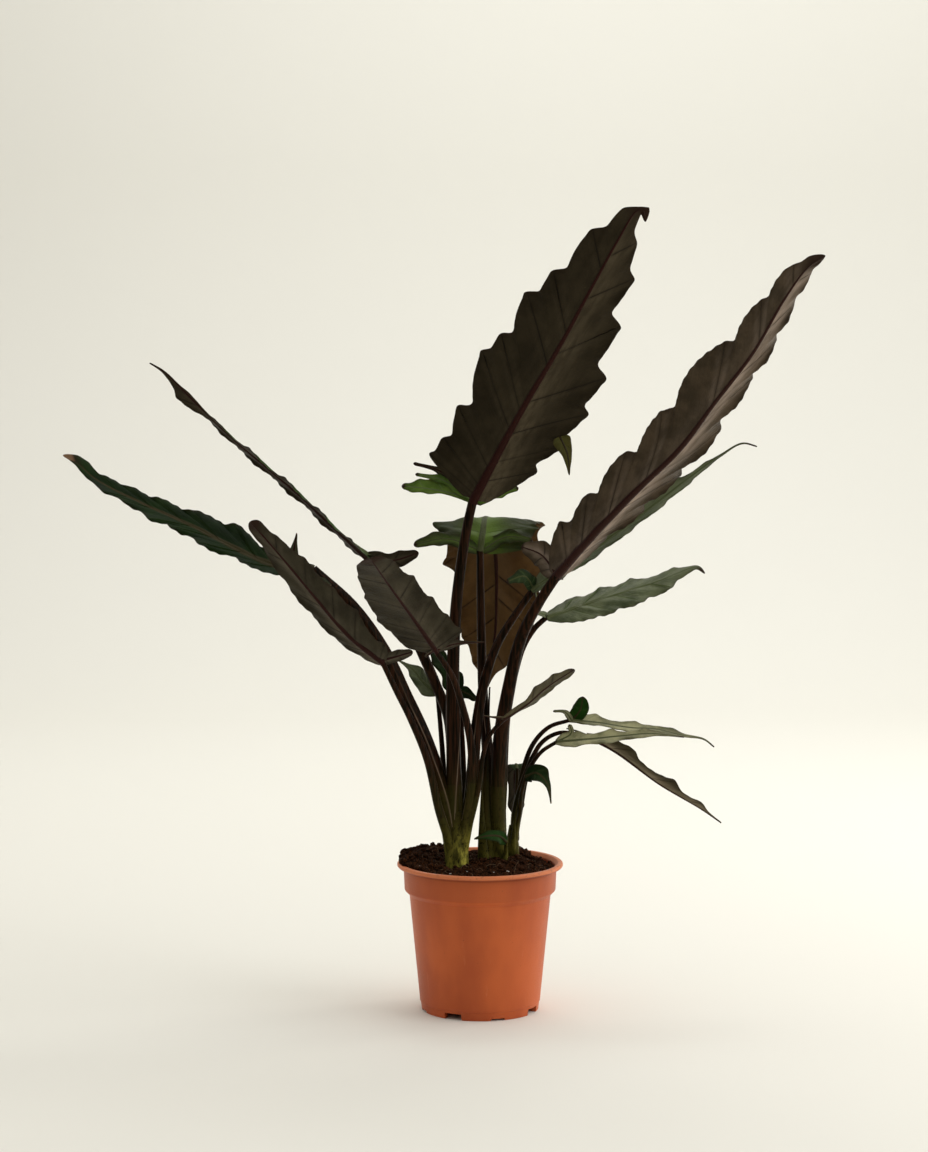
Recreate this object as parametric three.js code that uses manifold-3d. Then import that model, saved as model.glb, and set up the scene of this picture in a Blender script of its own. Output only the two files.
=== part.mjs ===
// A young potted alocasia with sword-shaped leaves, in a plastic nursery pot.
// Millimetres, +Z up. The origin is the middle of the pot's foot, on the surface it stands on.
// +X is the viewer's right and -Y is towards the viewer.

import * as THREE from 'three';
import Module from 'manifold-3d';
import { mergeVertices } from 'three/addons/utils/BufferGeometryUtils.js';

const wasm = await Module();
wasm.setup();

// Driving dimensions of the pot
const RIM_RADIUS = 85;
const POT_HEIGHT = 152;
const BASE_RADIUS = 60;
const WALL = 2.4;
const LIP_HEIGHT = 4.5;
const LIP_INNER_RADIUS = 80;
const LIP_EDGE = 1.2;
const COLLAR_RADIUS = 78.5;
const COLLAR_BOTTOM_RADIUS = 77.5;
const COLLAR_BOTTOM = 124;
const STEP_RADIUS = 72.5;
const STEP_BOTTOM = 119;
const FLOOR_HEIGHT = 9;
const FOOT_WIDTH = 6;
const FOOT_FLARE = 1.6;
const PAD_RADIUS = 14;
const POT_SIDES = 40;
const DEEP_NOTCH = { width: 20, height: 6.5, firstAngle: 62.4 };
const SHALLOW_NOTCH = { width: 15, height: 2.2, firstAngle: 17.4 };
const NOTCHES_OF_A_KIND = 4;
const DRAIN = { radius: 4.5, circle: 36, count: 6, sides: 10 };

// Driving dimensions of the soil
const SOIL_LEVEL = 145;
const SOIL_RADIUS = 82.5;
const SOIL_RINGS = 6;
const SOIL_SIDES = 30;
const STEM_DEPTH = 28;

// Driving dimensions common to all leaves
const GAP = 0.35;
const BLADE_THICKNESS = 0.9;
const NARROWEST_HALF_WIDTH = 0.9;
const STALK_SIDES = 6;
const NOTCH_AT = 0.17;
const NOTCH_DEPTH = 0.18;
const SWEEP = 0.65;

// The shoots: the place of each in the soil, its radius there and the height its core reaches.
// Each is full from below the soil up to SHOOT_SHOULDER above it, and then narrows
const SHOOT_SHOULDER = 16;
const SHOOT_FOOT = 12;
const SHOOT_SIDES = 12;
const shoots = {
  front: { root: [-24, -3], radius: 12, top: 205 },
  rear: { root: [18, 29], radius: 11, top: 200 },
  side: { root: [39, 47], radius: 7, top: 182 },
};

// The leaves, in mm. stalk and spine: places from the soil to the blade and on to its tip.
// radius: of the stalk at the soil and at the blade. sheath: height up to which the stalk is
// wrapped into its shoot. face: the part of the way along the blade, then the way that its
// upper side looks there. width: the blade's half-widths, first on the right of one who looks
// at the upper side with the tip up. teeth: how many on each side, or how far along the
// midrib and how far out from it each one ends. fold: the blade's V in degrees, at the stalk
// and at the tip. basal: half-width at the stalk. ruffle: how far the margin waves.
const leaves = [
  {
    name: 'tall_leaf',
    shoot: 'front',
    stalk: [[-26, -1, 190], [-27, 0, 260], [-28, 0, 339], [-24, -1, 421], [-14, -5, 493], [-8, -8, 521]],
    radius: [9, 4.6],
    sheath: 232,
    spine: [[20, -25, 575], [44, -48, 620], [78, -78, 679], [106, -103, 732], [132, -120, 780],
      [151, -125, 814], [156, -124, 812], [157, -123, 801]],
    face: [[0, 0.1, 0.95, 0.3], [1, 0.1, 0.95, 0.25]],
    width: [65, 62],
    teeth: [
      [[21, 65], [43, 57], [79, 59], [143, 65], [169, 56], [224, 55], [257, 41], [312, 27]],
      [[56, 46], [93, 59], [138, 62], [182, 58], [237, 45], [288, 34], [322, 18]],
    ],
    fold: [14, 6],
    basal: 9,
    ruffle: 3,
    lobes: [
      { side: 1, path: [[-34, 8, 542], [-72, 18, 552]], face: [0.2, -0.8, 0.6], width: 14, teeth: 3 },
      { side: -1, path: [[16, 10, 533], [37, 18, 537]], face: [-0.2, -0.8, 0.6], width: 10, teeth: 2 },
      {
        side: -1,
        from: [78, 50],
        path: [[88, -24, 570], [89, -30, 550]],
        face: [0.2, -0.9, 0.2],
        width: 8,
        teeth: 1,
      },
    ],
  },
  {
    name: 'arching_leaf',
    shoot: 'rear',
    stalk: [[11, 30, 215], [7, 31, 270], [3, 30, 325], [1, 28, 398], [0, 25, 468]],
    radius: [7, 3.6],
    sheath: 225,
    spine: [[3, 36, 486], [6, 62, 497], [12, 92, 483], [17, 110, 454], [18, 122, 411], [16, 128, 368],
      [5, 132, 306]],
    face: [[0, 0, -0.9, 0.35], [0.14, 0, -0.3, 0.95], [0.3, 0, 0.8, 0.6], [1, 0.1, 1, 0.1]],
    width: [58, 56],
    teeth: [
      [[14, 48], [46, 58], [94, 52], [139, 50], [186, 43], [206, 37], [246, 17]],
      [[12, 46], [46, 56], [90, 53], [135, 53], [194, 46], [222, 34], [249, 19]],
    ],
    fold: [-5, 6],
    basal: 10,
    ruffle: 3,
    lobes: [
      { side: -1, path: [[-32, 28, 484], [-67, 22, 477]], face: [0.1, -0.85, 0.5], width: 10, teeth: 2 },
      { side: 1, path: [[28, 30, 486], [54, 28, 481]], face: [-0.1, -0.85, 0.5], width: 9, teeth: 2 },
    ],
  },
  {
    name: 'right_long_leaf',
    shoot: 'rear',
    stalk: [[18, 22, 212], [21, 15, 276], [29, 8, 328], [41, -2, 381], [59, -12, 419], [76, -20, 446]],
    radius: [10, 4.8],
    sheath: 228,
    spine: [[120, -40, 497], [160, -60, 540], [196, -80, 577], [228, -102, 623], [262, -126, 671],
      [290, -147, 723], [310, -159, 752], [326, -165, 763]],
    face: [[0, -0.05, 0.9, 0.4], [1, -0.1, 0.9, 0.35]],
    width: [36, 38],
    teeth: [
      [[45, 34], [84, 32], [142, 34], [206, 36], [303, 26], [361, 15], [415, 5]],
      [[60, 24], [105, 38], [160, 35], [221, 33], [281, 21], [300, 20], [366, 15], [382, 14]],
    ],
    fold: [38, 20],
    basal: 9,
    ruffle: 2.5,
    lobes: [
      { side: 1, path: [[62, -8, 468], [44, 0, 478]], face: [-0.1, 0.95, 0.3], width: 15, teeth: 2 },
      { side: -1, path: [[82, 2, 436], [86, 22, 424]], face: [0.3, 0.4, 0.8], width: 10, teeth: 2 },
    ],
  },
  {
    name: 'right_rear_leaf',
    shoot: 'front',
    stalk: [[-10, 5, 215], [-4, 5, 287], [2, 5, 327], [9, 6, 353], [19, 9, 378], [36, 13, 405],
      [53, 15, 429]],
    radius: [8, 3.4],
    sheath: 228,
    spine: [[92, 15, 456], [123, 18, 476], [164, 20, 506], [215, 24, 545], [251, 26, 569], [281, 22, 584]],
    face: [[0, -0.3, -0.5, 0.8], [1, -0.4, -0.6, 0.7]],
    width: [22, 16],
    teeth: [
      [[34, 22], [76, 18], [110, 12], [139, 12], [187, 8], [226, 6]],
      [[40, 16], [90, 16], [139, 12], [187, 8], [226, 5]],
    ],
    fold: [20, 15],
    basal: 6,
    ruffle: 2,
    green: true,
    lobes: [
      { side: -1, path: [[43, 10, 438], [29, 6, 438]], face: [0.3, -0.8, 0.5], width: 11, teeth: 2 },
      { side: 1, path: [[58, 20, 420], [62, 30, 408]], face: [0.3, -0.3, 0.8], width: 8, teeth: 2 },
    ],
  },
  {
    name: 'right_middle_leaf',
    shoot: 'rear',
    stalk: [[23, 38, 215], [28, 40, 298], [36, 42, 340], [45, 45, 369], [57, 48, 388], [69, 50, 399]],
    radius: [6, 2.8],
    sheath: 232,
    spine: [[104, 58, 410], [142, 62, 422], [173, 65, 431], [205, 66, 443], [226, 65, 450], [234, 60, 444]],
    face: [[0, -0.1, -0.65, 0.75], [1, -0.2, -0.6, 0.75]],
    width: [22, 18],
    teeth: [
      [[50, 21], [70, 22], [102, 21], [135, 17]],
      [[37, 17], [67, 19], [100, 18], [146, 11]],
    ],
    fold: [-12, -8],
    basal: 5,
    ruffle: 2,
    green: true,
    lobes: [
      { side: -1, path: [[62, 46, 403], [56, 42, 404]], face: [-0.1, -0.8, 0.6], width: 5, teeth: 1 },
      { side: 1, path: [[72, 60, 396], [72, 70, 394]], face: [0, 0, 1], width: 6, teeth: 1 },
    ],
  },
  {
    name: 'right_small_leaf',
    shoot: 'front',
    stalk: [[-5, -13, 215], [0, -15, 240], [3, -17, 265], [10, -22, 286], [23, -27, 302]],
    radius: [4, 2],
    sheath: 222,
    spine: [[46, -34, 318], [68, -42, 338], [93, -50, 355]],
    face: [[0, -0.5, 0.5, 0.7], [1, -0.4, 0.6, 0.7]],
    width: [13, 18],
    teeth: [
      [[24, 8], [52, 13], [74, 12]],
      [[19, 8], [38, 18], [68, 13]],
    ],
    fold: [10, 5],
    basal: 4,
    ruffle: 1.5,
    blunt: true,
    lobes: [{ side: 1, path: [[18, -30, 306], [10, -32, 308]], face: [-0.3, 0.4, 0.8], width: 3, teeth: 1 }],
  },
  {
    name: 'drooping_upper_leaf',
    shoot: 'side',
    stalk: [[39, 48, 200], [46, 48, 242], [56, 46, 268], [72, 45, 285], [93, 45, 292]],
    radius: [4, 2],
    sheath: 196,
    spine: [[125, 42, 289], [158, 42, 284], [182, 42, 283], [208, 41, 277], [232, 40, 273], [243, 38, 265]],
    face: [[0, 0, -0.4, 0.9], [1, 0, -0.5, 0.85]],
    width: [12, 12],
    teeth: [3, 3],
    fold: [15, 5],
    basal: 4,
    ruffle: 2,
    lobes: [
      { side: -1, path: [[103, 45, 302], [105, 45, 314]], face: [0.2, -0.9, 0.2], width: 8, teeth: 1 },
      { side: 1, path: [[88, 43, 301], [79, 41, 301]], face: [0, -0.7, 0.6], width: 3, teeth: 1 },
    ],
  },
  {
    name: 'drooping_middle_leaf',
    shoot: 'side',
    stalk: [[42, 40, 200], [50, 32, 240], [63, 22, 262], [78, 16, 273]],
    radius: [4, 1.9],
    sheath: 196,
    spine: [[108, 13, 276], [144, 10, 280], [174, 7, 283], [209, 5, 280]],
    face: [[0, 0, -0.6, 0.8], [1, 0, -0.6, 0.8]],
    width: [12, 12],
    teeth: [3, 3],
    fold: [10, 5],
    basal: 4,
    ruffle: 2,
    lobes: [{ side: -1, path: [[94, 21, 281], [92, 24, 291]], face: [0, -0.9, 0.3], width: 6, teeth: 1 }],
  },
  {
    name: 'drooping_lower_leaf',
    shoot: 'side',
    stalk: [[37, 43, 200], [49, 40, 240], [64, 35, 270], [83, 31, 281], [109, 30, 278]],
    radius: [4, 1.9],
    sheath: 196,
    spine: [[139, 28, 262], [186, 24, 228], [227, 20, 204], [249, 18, 189]],
    face: [[0, 0.3, 0.3, 0.85], [1, 0.35, 0.4, 0.8]],
    width: [15, 9],
    teeth: [
      [[50, 15], [105, 15], [140, 8]],
      [[50, 8], [105, 8], [140, 5]],
    ],
    fold: [42, 25],
    basal: 4,
    ruffle: 2,
    lobes: [{ side: 1, path: [[100, 38, 282], [90, 42, 284]], face: [0.2, 0.2, 1], width: 4, teeth: 1 }],
  },
  {
    name: 'low_right_leaf',
    shoot: 'side',
    stalk: [[41, 36, 195], [43, 28, 218], [47, 21, 236]],
    radius: [3.5, 1.8],
    sheath: 186,
    spine: [[57, 15, 242], [67, 9, 232], [72, 6, 211]],
    face: [[0, 0.1, -0.6, 0.8], [1, 0.7, -0.6, 0.3]],
    width: [11, 11],
    teeth: [1, 1],
    fold: [10, 5],
    basal: 5,
    ruffle: 1,
    lobes: [],
  },
  {
    name: 'low_rear_leaf',
    shoot: 'side',
    stalk: [[38, 54, 200], [39, 57, 238]],
    radius: [3.5, 1.8],
    sheath: 188,
    spine: [[37, 62, 243], [34, 69, 228], [33, 72, 200], [35, 72, 176]],
    face: [[0, 0, -0.5, 0.9], [0.25, 0, 0.7, 0.6], [1, 0, 1, 0.1]],
    width: [9, 9],
    teeth: [2, 2],
    fold: [5, 5],
    basal: 4,
    ruffle: 1,
    lobes: [],
  },
  {
    name: 'base_leaf',
    shoot: 'rear',
    stalk: [[26, 16, 158], [27, 10, 170]],
    radius: [3, 1.8],
    sheath: 150,
    spine: [[20, 4, 178], [8, -2, 180], [-2, -6, 176]],
    face: [[0, 0, -0.5, 0.85], [1, 0, -0.5, 0.85]],
    width: [7, 7],
    teeth: [2, 2],
    fold: [5, 5],
    basal: 3,
    ruffle: 0.8,
    lobes: [],
  },
  {
    name: 'left_upper_leaf',
    shoot: 'front',
    stalk: [[-27, 11, 215], [-32, 17, 297], [-44, 17, 330], [-61, 14, 369], [-84, 8, 421], [-113, 0, 464]],
    radius: [6.5, 4.6],
    sheath: 228,
    spine: [[-147, -3, 495], [-183, -5, 529], [-218, -8, 559], [-253, -10, 589], [-298, -12, 633],
      [-318, -12, 653], [-333, -12, 662]],
    face: [[0, 0.673, 0.08, 0.734], [0.8, 0.673, 0.08, 0.734], [1, 0.5, 0.7, 0.5]],
    width: [24, 24],
    teeth: [6, 6],
    fold: [5, 4],
    basal: 7,
    ruffle: 2,
    lobes: [
      { side: -1, path: [[-98, 10, 468], [-76, 16, 466]], face: [0.3, -0.5, 0.8], width: 11, teeth: 1 },
      { side: 1, path: [[-100, -14, 466], [-84, -26, 462]], face: [0.4, 0, 0.9], width: 9, teeth: 1 },
    ],
  },
  {
    name: 'left_inner_leaf',
    shoot: 'front',
    stalk: [[-10, -11, 215], [-8, -15, 245], [-10, -19, 280], [-20, -25, 322], [-29, -31, 348],
      [-44, -37, 372]],
    radius: [6, 2.8],
    sheath: 236,
    spine: [[-65, -70, 406], [-88, -120, 446], [-108, -175, 482]],
    face: [[0, -0.15, 0.5, 0.85], [1, -0.15, 0.5, 0.85]],
    width: [37, 34],
    teeth: [
      [[18, 29], [34, 31], [61, 37], [105, 32], [145, 21]],
      [[12, 34], [39, 30], [73, 28], [146, 17]],
    ],
    fold: [12, 8],
    basal: 8,
    ruffle: 2.5,
    lobes: [
      { side: -1, path: [[-24, -30, 380], [4, -26, 381]], face: [0, 0.5, 0.8], width: 10, teeth: 1 },
      { side: 1, path: [[-56, -26, 364], [-62, -14, 352]], face: [-0.2, 0.4, 0.8], width: 9, teeth: 1 },
    ],
  },
  {
    name: 'left_front_leaf',
    shoot: 'front',
    stalk: [[-42, -17, 208], [-54, -24, 261], [-71, -30, 304], [-85, -36, 333], [-98, -40, 361]],
    radius: [5, 2.6],
    sheath: 200,
    spine: [[-131, -55, 389], [-177, -80, 447], [-203, -92, 480], [-226, -98, 507]],
    face: [[0, 0.15, 0.85, 0.5], [1, 0.15, 0.9, 0.5]],
    width: [20, 24],
    teeth: [
      [[19, 10], [44, 15], [63, 15], [114, 20], [175, 12]],
      [[13, 17], [66, 24], [102, 16], [143, 14], [164, 14], [183, 10]],
    ],
    fold: [16, 8],
    basal: 6,
    ruffle: 2,
    blunt: true,
    lobes: [
      { side: -1, path: [[-84, -36, 366], [-70, -34, 366]], face: [0.1, 0.7, 0.6], width: 8, teeth: 1 },
      { side: 1, path: [[-102, -28, 356], [-104, -16, 350]], face: [0, 0.5, 0.8], width: 8, teeth: 1 },
    ],
  },
  {
    name: 'left_long_leaf',
    shoot: 'front',
    stalk: [[-35, 0, 210], [-53, 3, 267], [-75, 6, 318], [-98, 9, 367], [-130, 10, 413], [-170, 10, 450]],
    radius: [9, 6],
    sheath: 226,
    spine: [[-213, 11, 456], [-254, 16, 474], [-293, 21, 494], [-349, 28, 519], [-395, 31, 543],
      [-414, 30, 560], [-428, 28, 568]],
    face: [[0, 0.3, -0.55, 0.78], [1, 0.3, -0.6, 0.75]],
    width: [29, 27],
    teeth: [
      [[60, 17], [101, 29], [147, 17], [185, 14], [215, 12], [245, 8]],
      [[73, 21], [121, 27], [155, 21], [179, 24], [215, 12], [235, 14]],
    ],
    fold: [10, 6],
    basal: 8,
    ruffle: 2.5,
    green: true,
    lobes: [
      { side: 1, path: [[-184, 18, 466], [-188, 24, 484]], face: [0.5, -0.8, 0.3], width: 6, teeth: 1 },
      { side: -1, path: [[-158, 0, 440], [-146, -8, 430]], face: [0.3, -0.4, 0.8], width: 8, teeth: 1 },
    ],
  },
  {
    name: 'inner_small_leaf',
    shoot: 'front',
    stalk: [[-36, 18, 205], [-38, 26, 250], [-41, 30, 290], [-44, 32, 321]],
    radius: [4, 2.2],
    sheath: 196,
    spine: [[-58, 34, 332], [-70, 38, 346], [-86, 42, 356]],
    face: [[0, 0.3, -0.8, 0.5], [1, 0.3, -0.7, 0.6]],
    width: [13, 13],
    teeth: [2, 2],
    fold: [8, 4],
    basal: 4,
    ruffle: 2,
    green: true,
    lobes: [],
  },
  {
    name: 'inner_rear_leaf',
    shoot: 'front',
    stalk: [[-17, 14, 210], [-18, 22, 270], [-22, 25, 322]],
    radius: [4, 2.2],
    sheath: 214,
    spine: [[-34, 24, 346], [-48, 20, 366], [-60, 16, 384]],
    face: [[0, 0.3, -0.85, 0.4], [1, 0.3, -0.8, 0.5]],
    width: [14, 14],
    teeth: [2, 2],
    fold: [6, 4],
    basal: 4,
    ruffle: 1.5,
    green: true,
    lobes: [{ side: 1, path: [[-12, 22, 322], [-4, 20, 316]], face: [0.2, -0.9, 0.3], width: 8, teeth: 1 }],
  },
];

// Finishes
function finish(colour, roughness) {
  return new THREE.MeshStandardMaterial({ color: colour, roughness, metalness: 0 });
}
const finishes = {
  pot: finish(0xb5562f, 0.5),
  soil: finish(0x2a1a12, 0.95),
  shoot: finish(0x4a4a1e, 0.45),
  stalk: finish(0x2b1c18, 0.4),
  dark: finish(0x2a221c, 0.45),
  green: finish(0x24371f, 0.4),
};

const vector = (p) => new THREE.Vector3(p[0], p[1], p[2]);
const mix = THREE.MathUtils.lerp;
const clamp = THREE.MathUtils.clamp;
const radians = THREE.MathUtils.degToRad;

// Values from 0 to 1 in a fixed order, so that repeats differ and every run is the same
function varied(seed) {
  const x = Math.sin(seed * 12.9898 + 4.1414) * 43758.5453;
  return x - Math.floor(x);
}

// A closed solid from its corners and triangles
function solidFrom(corners, triangles) {
  return new wasm.Manifold(new wasm.Mesh({
    numProp: 3,
    vertProperties: new Float32Array(corners.flat()),
    triVerts: new Uint32Array(triangles.flat()),
  }));
}

// The largest piece of a solid: scraps left by a cut are dropped
function largest(solid) {
  const pieces = solid.decompose();
  return pieces.reduce((best, piece) => (piece.volume() > best.volume() ? piece : best));
}

// A named mesh of a solid
function meshOf(name, solid, material) {
  const made = solid.getMesh();
  const geometry = new THREE.BufferGeometry();
  geometry.setAttribute('position', new THREE.BufferAttribute(new Float32Array(made.vertProperties), 3));
  geometry.setIndex(new THREE.BufferAttribute(new Uint32Array(made.triVerts), 1));
  geometry.computeVertexNormals();
  const mesh = new THREE.Mesh(geometry, material);
  mesh.name = name;
  return mesh;
}

// The solid of a closed three.js geometry
function solidOf(geometry) {
  geometry.deleteAttribute('normal');
  geometry.deleteAttribute('uv');
  const welded = mergeVertices(geometry, 1e-4);
  return new wasm.Manifold(new wasm.Mesh({
    numProp: 3,
    vertProperties: new Float32Array(welded.attributes.position.array),
    triVerts: new Uint32Array(welded.index.array),
  }));
}

// A solid turned round the Z axis: the profile [radius, height] runs from the axis to the axis,
// up the outside and down the inside
function turned(profile, sides) {
  const points = profile.map(([radius, height]) => new THREE.Vector2(radius, height));
  return solidOf(new THREE.LatheGeometry(points, sides).rotateX(Math.PI / 2));
}

// A plain round bar upright at x, y
function bar(x, y, bottom, top, radius, sides) {
  const profile = [[0, bottom], [radius, bottom], [radius, top], [0, top]];
  return turned(profile, sides).translate([x, y, 0]);
}

// The pot

// Its outline; grown is how much larger it is on every side than the real one
function potProfile(grown) {
  const g = grown;
  const innerFoot = BASE_RADIUS - FOOT_WIDTH;
  return [
    [0, -g],
    [PAD_RADIUS + g, -g],
    [PAD_RADIUS + g, FLOOR_HEIGHT - g],
    [innerFoot - g, FLOOR_HEIGHT - g],
    [innerFoot - g, -g],
    [BASE_RADIUS + g, -g],
    [BASE_RADIUS + FOOT_FLARE + g, FLOOR_HEIGHT],
    [STEP_RADIUS + g, STEP_BOTTOM],
    [COLLAR_BOTTOM_RADIUS + g, COLLAR_BOTTOM - g],
    [COLLAR_RADIUS + g, POT_HEIGHT - LIP_HEIGHT - g],
    [RIM_RADIUS - LIP_EDGE + g, POT_HEIGHT - LIP_HEIGHT - g],
    [RIM_RADIUS + g, POT_HEIGHT - LIP_HEIGHT + LIP_EDGE],
    [RIM_RADIUS + g, POT_HEIGHT - LIP_EDGE],
    [RIM_RADIUS - LIP_EDGE + g, POT_HEIGHT + g],
    [LIP_INNER_RADIUS - g, POT_HEIGHT + g],
    [COLLAR_RADIUS - WALL - g, POT_HEIGHT - LIP_HEIGHT],
    [COLLAR_BOTTOM_RADIUS - WALL - g, COLLAR_BOTTOM + 1],
    [STEP_RADIUS - WALL - g, STEP_BOTTOM],
    [BASE_RADIUS + FOOT_FLARE - WALL - g, FLOOR_HEIGHT + WALL + g],
    [0, FLOOR_HEIGHT + WALL + g],
  ];
}

// A block through the foot at an angle, which cuts a notch under it
function notchBlock(notch, angle) {
  const block = new THREE.BoxGeometry(FOOT_WIDTH * 3, notch.width, notch.height * 2);
  block.translate(BASE_RADIUS, 0, 0);
  block.rotateZ(radians(angle));
  return solidOf(block);
}

function potSolid() {
  let pot = turned(potProfile(0), POT_SIDES);
  for (let i = 0; i < NOTCHES_OF_A_KIND; i += 1) {
    const turn = (360 * i) / NOTCHES_OF_A_KIND;
    pot = pot.subtract(notchBlock(DEEP_NOTCH, DEEP_NOTCH.firstAngle + turn));
    pot = pot.subtract(notchBlock(SHALLOW_NOTCH, SHALLOW_NOTCH.firstAngle + turn));
  }
  for (let i = 0; i < DRAIN.count; i += 1) {
    const angle = (2 * Math.PI * i) / DRAIN.count;
    const x = DRAIN.circle * Math.cos(angle);
    const y = DRAIN.circle * Math.sin(angle);
    pot = pot.subtract(bar(x, y, WALL, FLOOR_HEIGHT + 2 * WALL, DRAIN.radius, DRAIN.sides));
  }
  return pot;
}

// The soil

// A smooth hill of height 1 in the middle, spread wide or narrow along x and y
function hill(x, y, middleX, middleY, spreadX, spreadY) {
  return Math.exp(-(((x - middleX) / spreadX) ** 2) - ((y - middleY) / spreadY) ** 2);
}

// The height of the soil: mounded round the stems, heaped over the rim at the left, low at the right
function soilHeight(x, y) {
  const mound = 6 * hill(x, y, 0, 10, 48, 45);
  const heap = 13 * hill(x, y, -72, 4, 20, 48);
  const rearHeap = 7 * hill(x, y, 30, 66, 26, 18);
  const dip = -7 * hill(x, y, 68, 6, 22, 50);
  const clods = 1.5 * Math.sin(x * 0.21 + 1.3) * Math.cos(y * 0.17) + 1.1 * Math.sin(x * 0.37 - y * 0.31);
  return SOIL_LEVEL + mound + heap + rearHeap + dip + clods;
}

function soilSolid() {
  const bottom = FLOOR_HEIGHT + WALL;
  const corners = [[0, 0, soilHeight(0, 0)]];
  const triangles = [];
  for (let ring = 1; ring <= SOIL_RINGS; ring += 1) {
    for (let i = 0; i < SOIL_SIDES; i += 1) {
      const angle = (2 * Math.PI * (i + 0.5 * (ring % 2))) / SOIL_SIDES;
      const radius = (SOIL_RADIUS * ring) / SOIL_RINGS;
      const x = radius * Math.cos(angle);
      const y = radius * Math.sin(angle);
      corners.push([x, y, soilHeight(x, y)]);
    }
  }
  const ringCorner = (ring, i) => 1 + (ring - 1) * SOIL_SIDES + (i % SOIL_SIDES);
  const outer = corners.slice(1 + (SOIL_RINGS - 1) * SOIL_SIDES);
  outer.forEach(([x, y]) => corners.push([x, y, bottom]));
  corners.push([0, 0, bottom]);
  const middle = corners.length - 1;
  for (let i = 0; i < SOIL_SIDES; i += 1) {
    triangles.push([0, ringCorner(1, i), ringCorner(1, i + 1)]);
    for (let ring = 1; ring < SOIL_RINGS; ring += 1) {
      const inner = [ringCorner(ring, i), ringCorner(ring, i + 1)];
      const next = [ringCorner(ring + 1, i), ringCorner(ring + 1, i + 1)];
      if (ring % 2) {
        triangles.push([inner[0], next[0], next[1]], [inner[0], next[1], inner[1]]);
      } else {
        triangles.push([inner[0], next[0], inner[1]], [inner[1], next[0], next[1]]);
      }
    }
    const last = [ringCorner(SOIL_RINGS, i), ringCorner(SOIL_RINGS, i + 1)];
    const foot = [ringCorner(SOIL_RINGS + 1, i), ringCorner(SOIL_RINGS + 1, i + 1)];
    triangles.push([last[0], foot[0], foot[1]], [last[0], foot[1], last[1]]);
    triangles.push([middle, foot[1], foot[0]]);
  }
  return solidFrom(corners, triangles);
}

// Curves

// A smooth curve through places, with the way that its upper side looks along it
function spineOf(points, face) {
  const curve = new THREE.CatmullRomCurve3(points.map(vector), false, 'centripetal');
  curve.arcLengthDivisions = 300;
  const length = curve.getLength();
  const faceAt = (part) => {
    let k = 1;
    while (k < face.length - 1 && part > face[k][0]) k += 1;
    const [from, to] = [face[k - 1], face[k]];
    const t = clamp((part - from[0]) / (to[0] - from[0]), 0, 1);
    const ease = t * t * (3 - 2 * t);
    return vector(from.slice(1)).lerp(vector(to.slice(1)), ease).normalize();
  };
  const at = (part) => {
    const s = clamp(part, 0, 1);
    const along = curve.getTangentAt(s).normalize();
    const up = faceAt(s);
    up.addScaledVector(along, -up.dot(along)).normalize();
    const out = new THREE.Vector3().crossVectors(along, up);
    return { place: curve.getPointAt(s), along, up, out };
  };
  return { curve, length, at };
}

// A round stalk along a curve, from one part of it to another
function stalkSolid(curve, radiusAt, from, to, steps, sides) {
  const corners = [];
  const triangles = [];
  for (let k = 0; k <= steps; k += 1) {
    const part = mix(from, to, k / steps);
    const middle = curve.getPointAt(part);
    const along = curve.getTangentAt(part);
    const u = new THREE.Vector3().crossVectors(new THREE.Vector3(0, 1, 0), along).normalize();
    const w = new THREE.Vector3().crossVectors(along, u);
    const radius = radiusAt(part);
    for (let i = 0; i < sides; i += 1) {
      const angle = (2 * Math.PI * i) / sides;
      const place = middle.clone();
      place.addScaledVector(u, radius * Math.cos(angle)).addScaledVector(w, radius * Math.sin(angle));
      corners.push(place.toArray());
    }
  }
  const corner = (k, i) => k * sides + (i % sides);
  for (let k = 0; k < steps; k += 1) {
    for (let i = 0; i < sides; i += 1) {
      triangles.push([corner(k, i), corner(k, i + 1), corner(k + 1, i + 1)]);
      triangles.push([corner(k, i), corner(k + 1, i + 1), corner(k + 1, i)]);
    }
  }
  for (let i = 1; i + 1 < sides; i += 1) {
    triangles.push([corner(0, 0), corner(0, i + 1), corner(0, i)]);
    triangles.push([corner(steps, 0), corner(steps, i), corner(steps, i + 1)]);
  }
  return solidFrom(corners, triangles);
}

// Blades

// A blade's half-width as a part of its greatest one, by rule
function plainOutline(part, broad) {
  if (part < broad) return 0.7 + 0.3 * Math.sin((Math.PI / 2) * (part / broad));
  return Math.cos((Math.PI / 2) * ((part - broad) / (1 - broad))) ** 0.9;
}

// The ends of the teeth on one side, each as far along and far out, with the blade's own ends
function toothEnds(blade, side, length) {
  const given = blade.teeth[side];
  const last = blade.blunt ? blade.width[side] * 0.3 : NARROWEST_HALF_WIDTH;
  let ends = given;
  if (!Array.isArray(given)) {
    ends = [];
    for (let k = 0; k < given; k += 1) {
      const part = (k + 0.7) / (given + 0.8);
      const uneven = 0.93 + 0.14 * varied(k + 10 * side + length);
      ends.push([part * length, blade.width[side] * plainOutline(part, blade.broad ?? 0.28) * uneven]);
    }
  }
  return [[0, blade.basal], ...ends, [length, last]];
}

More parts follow.
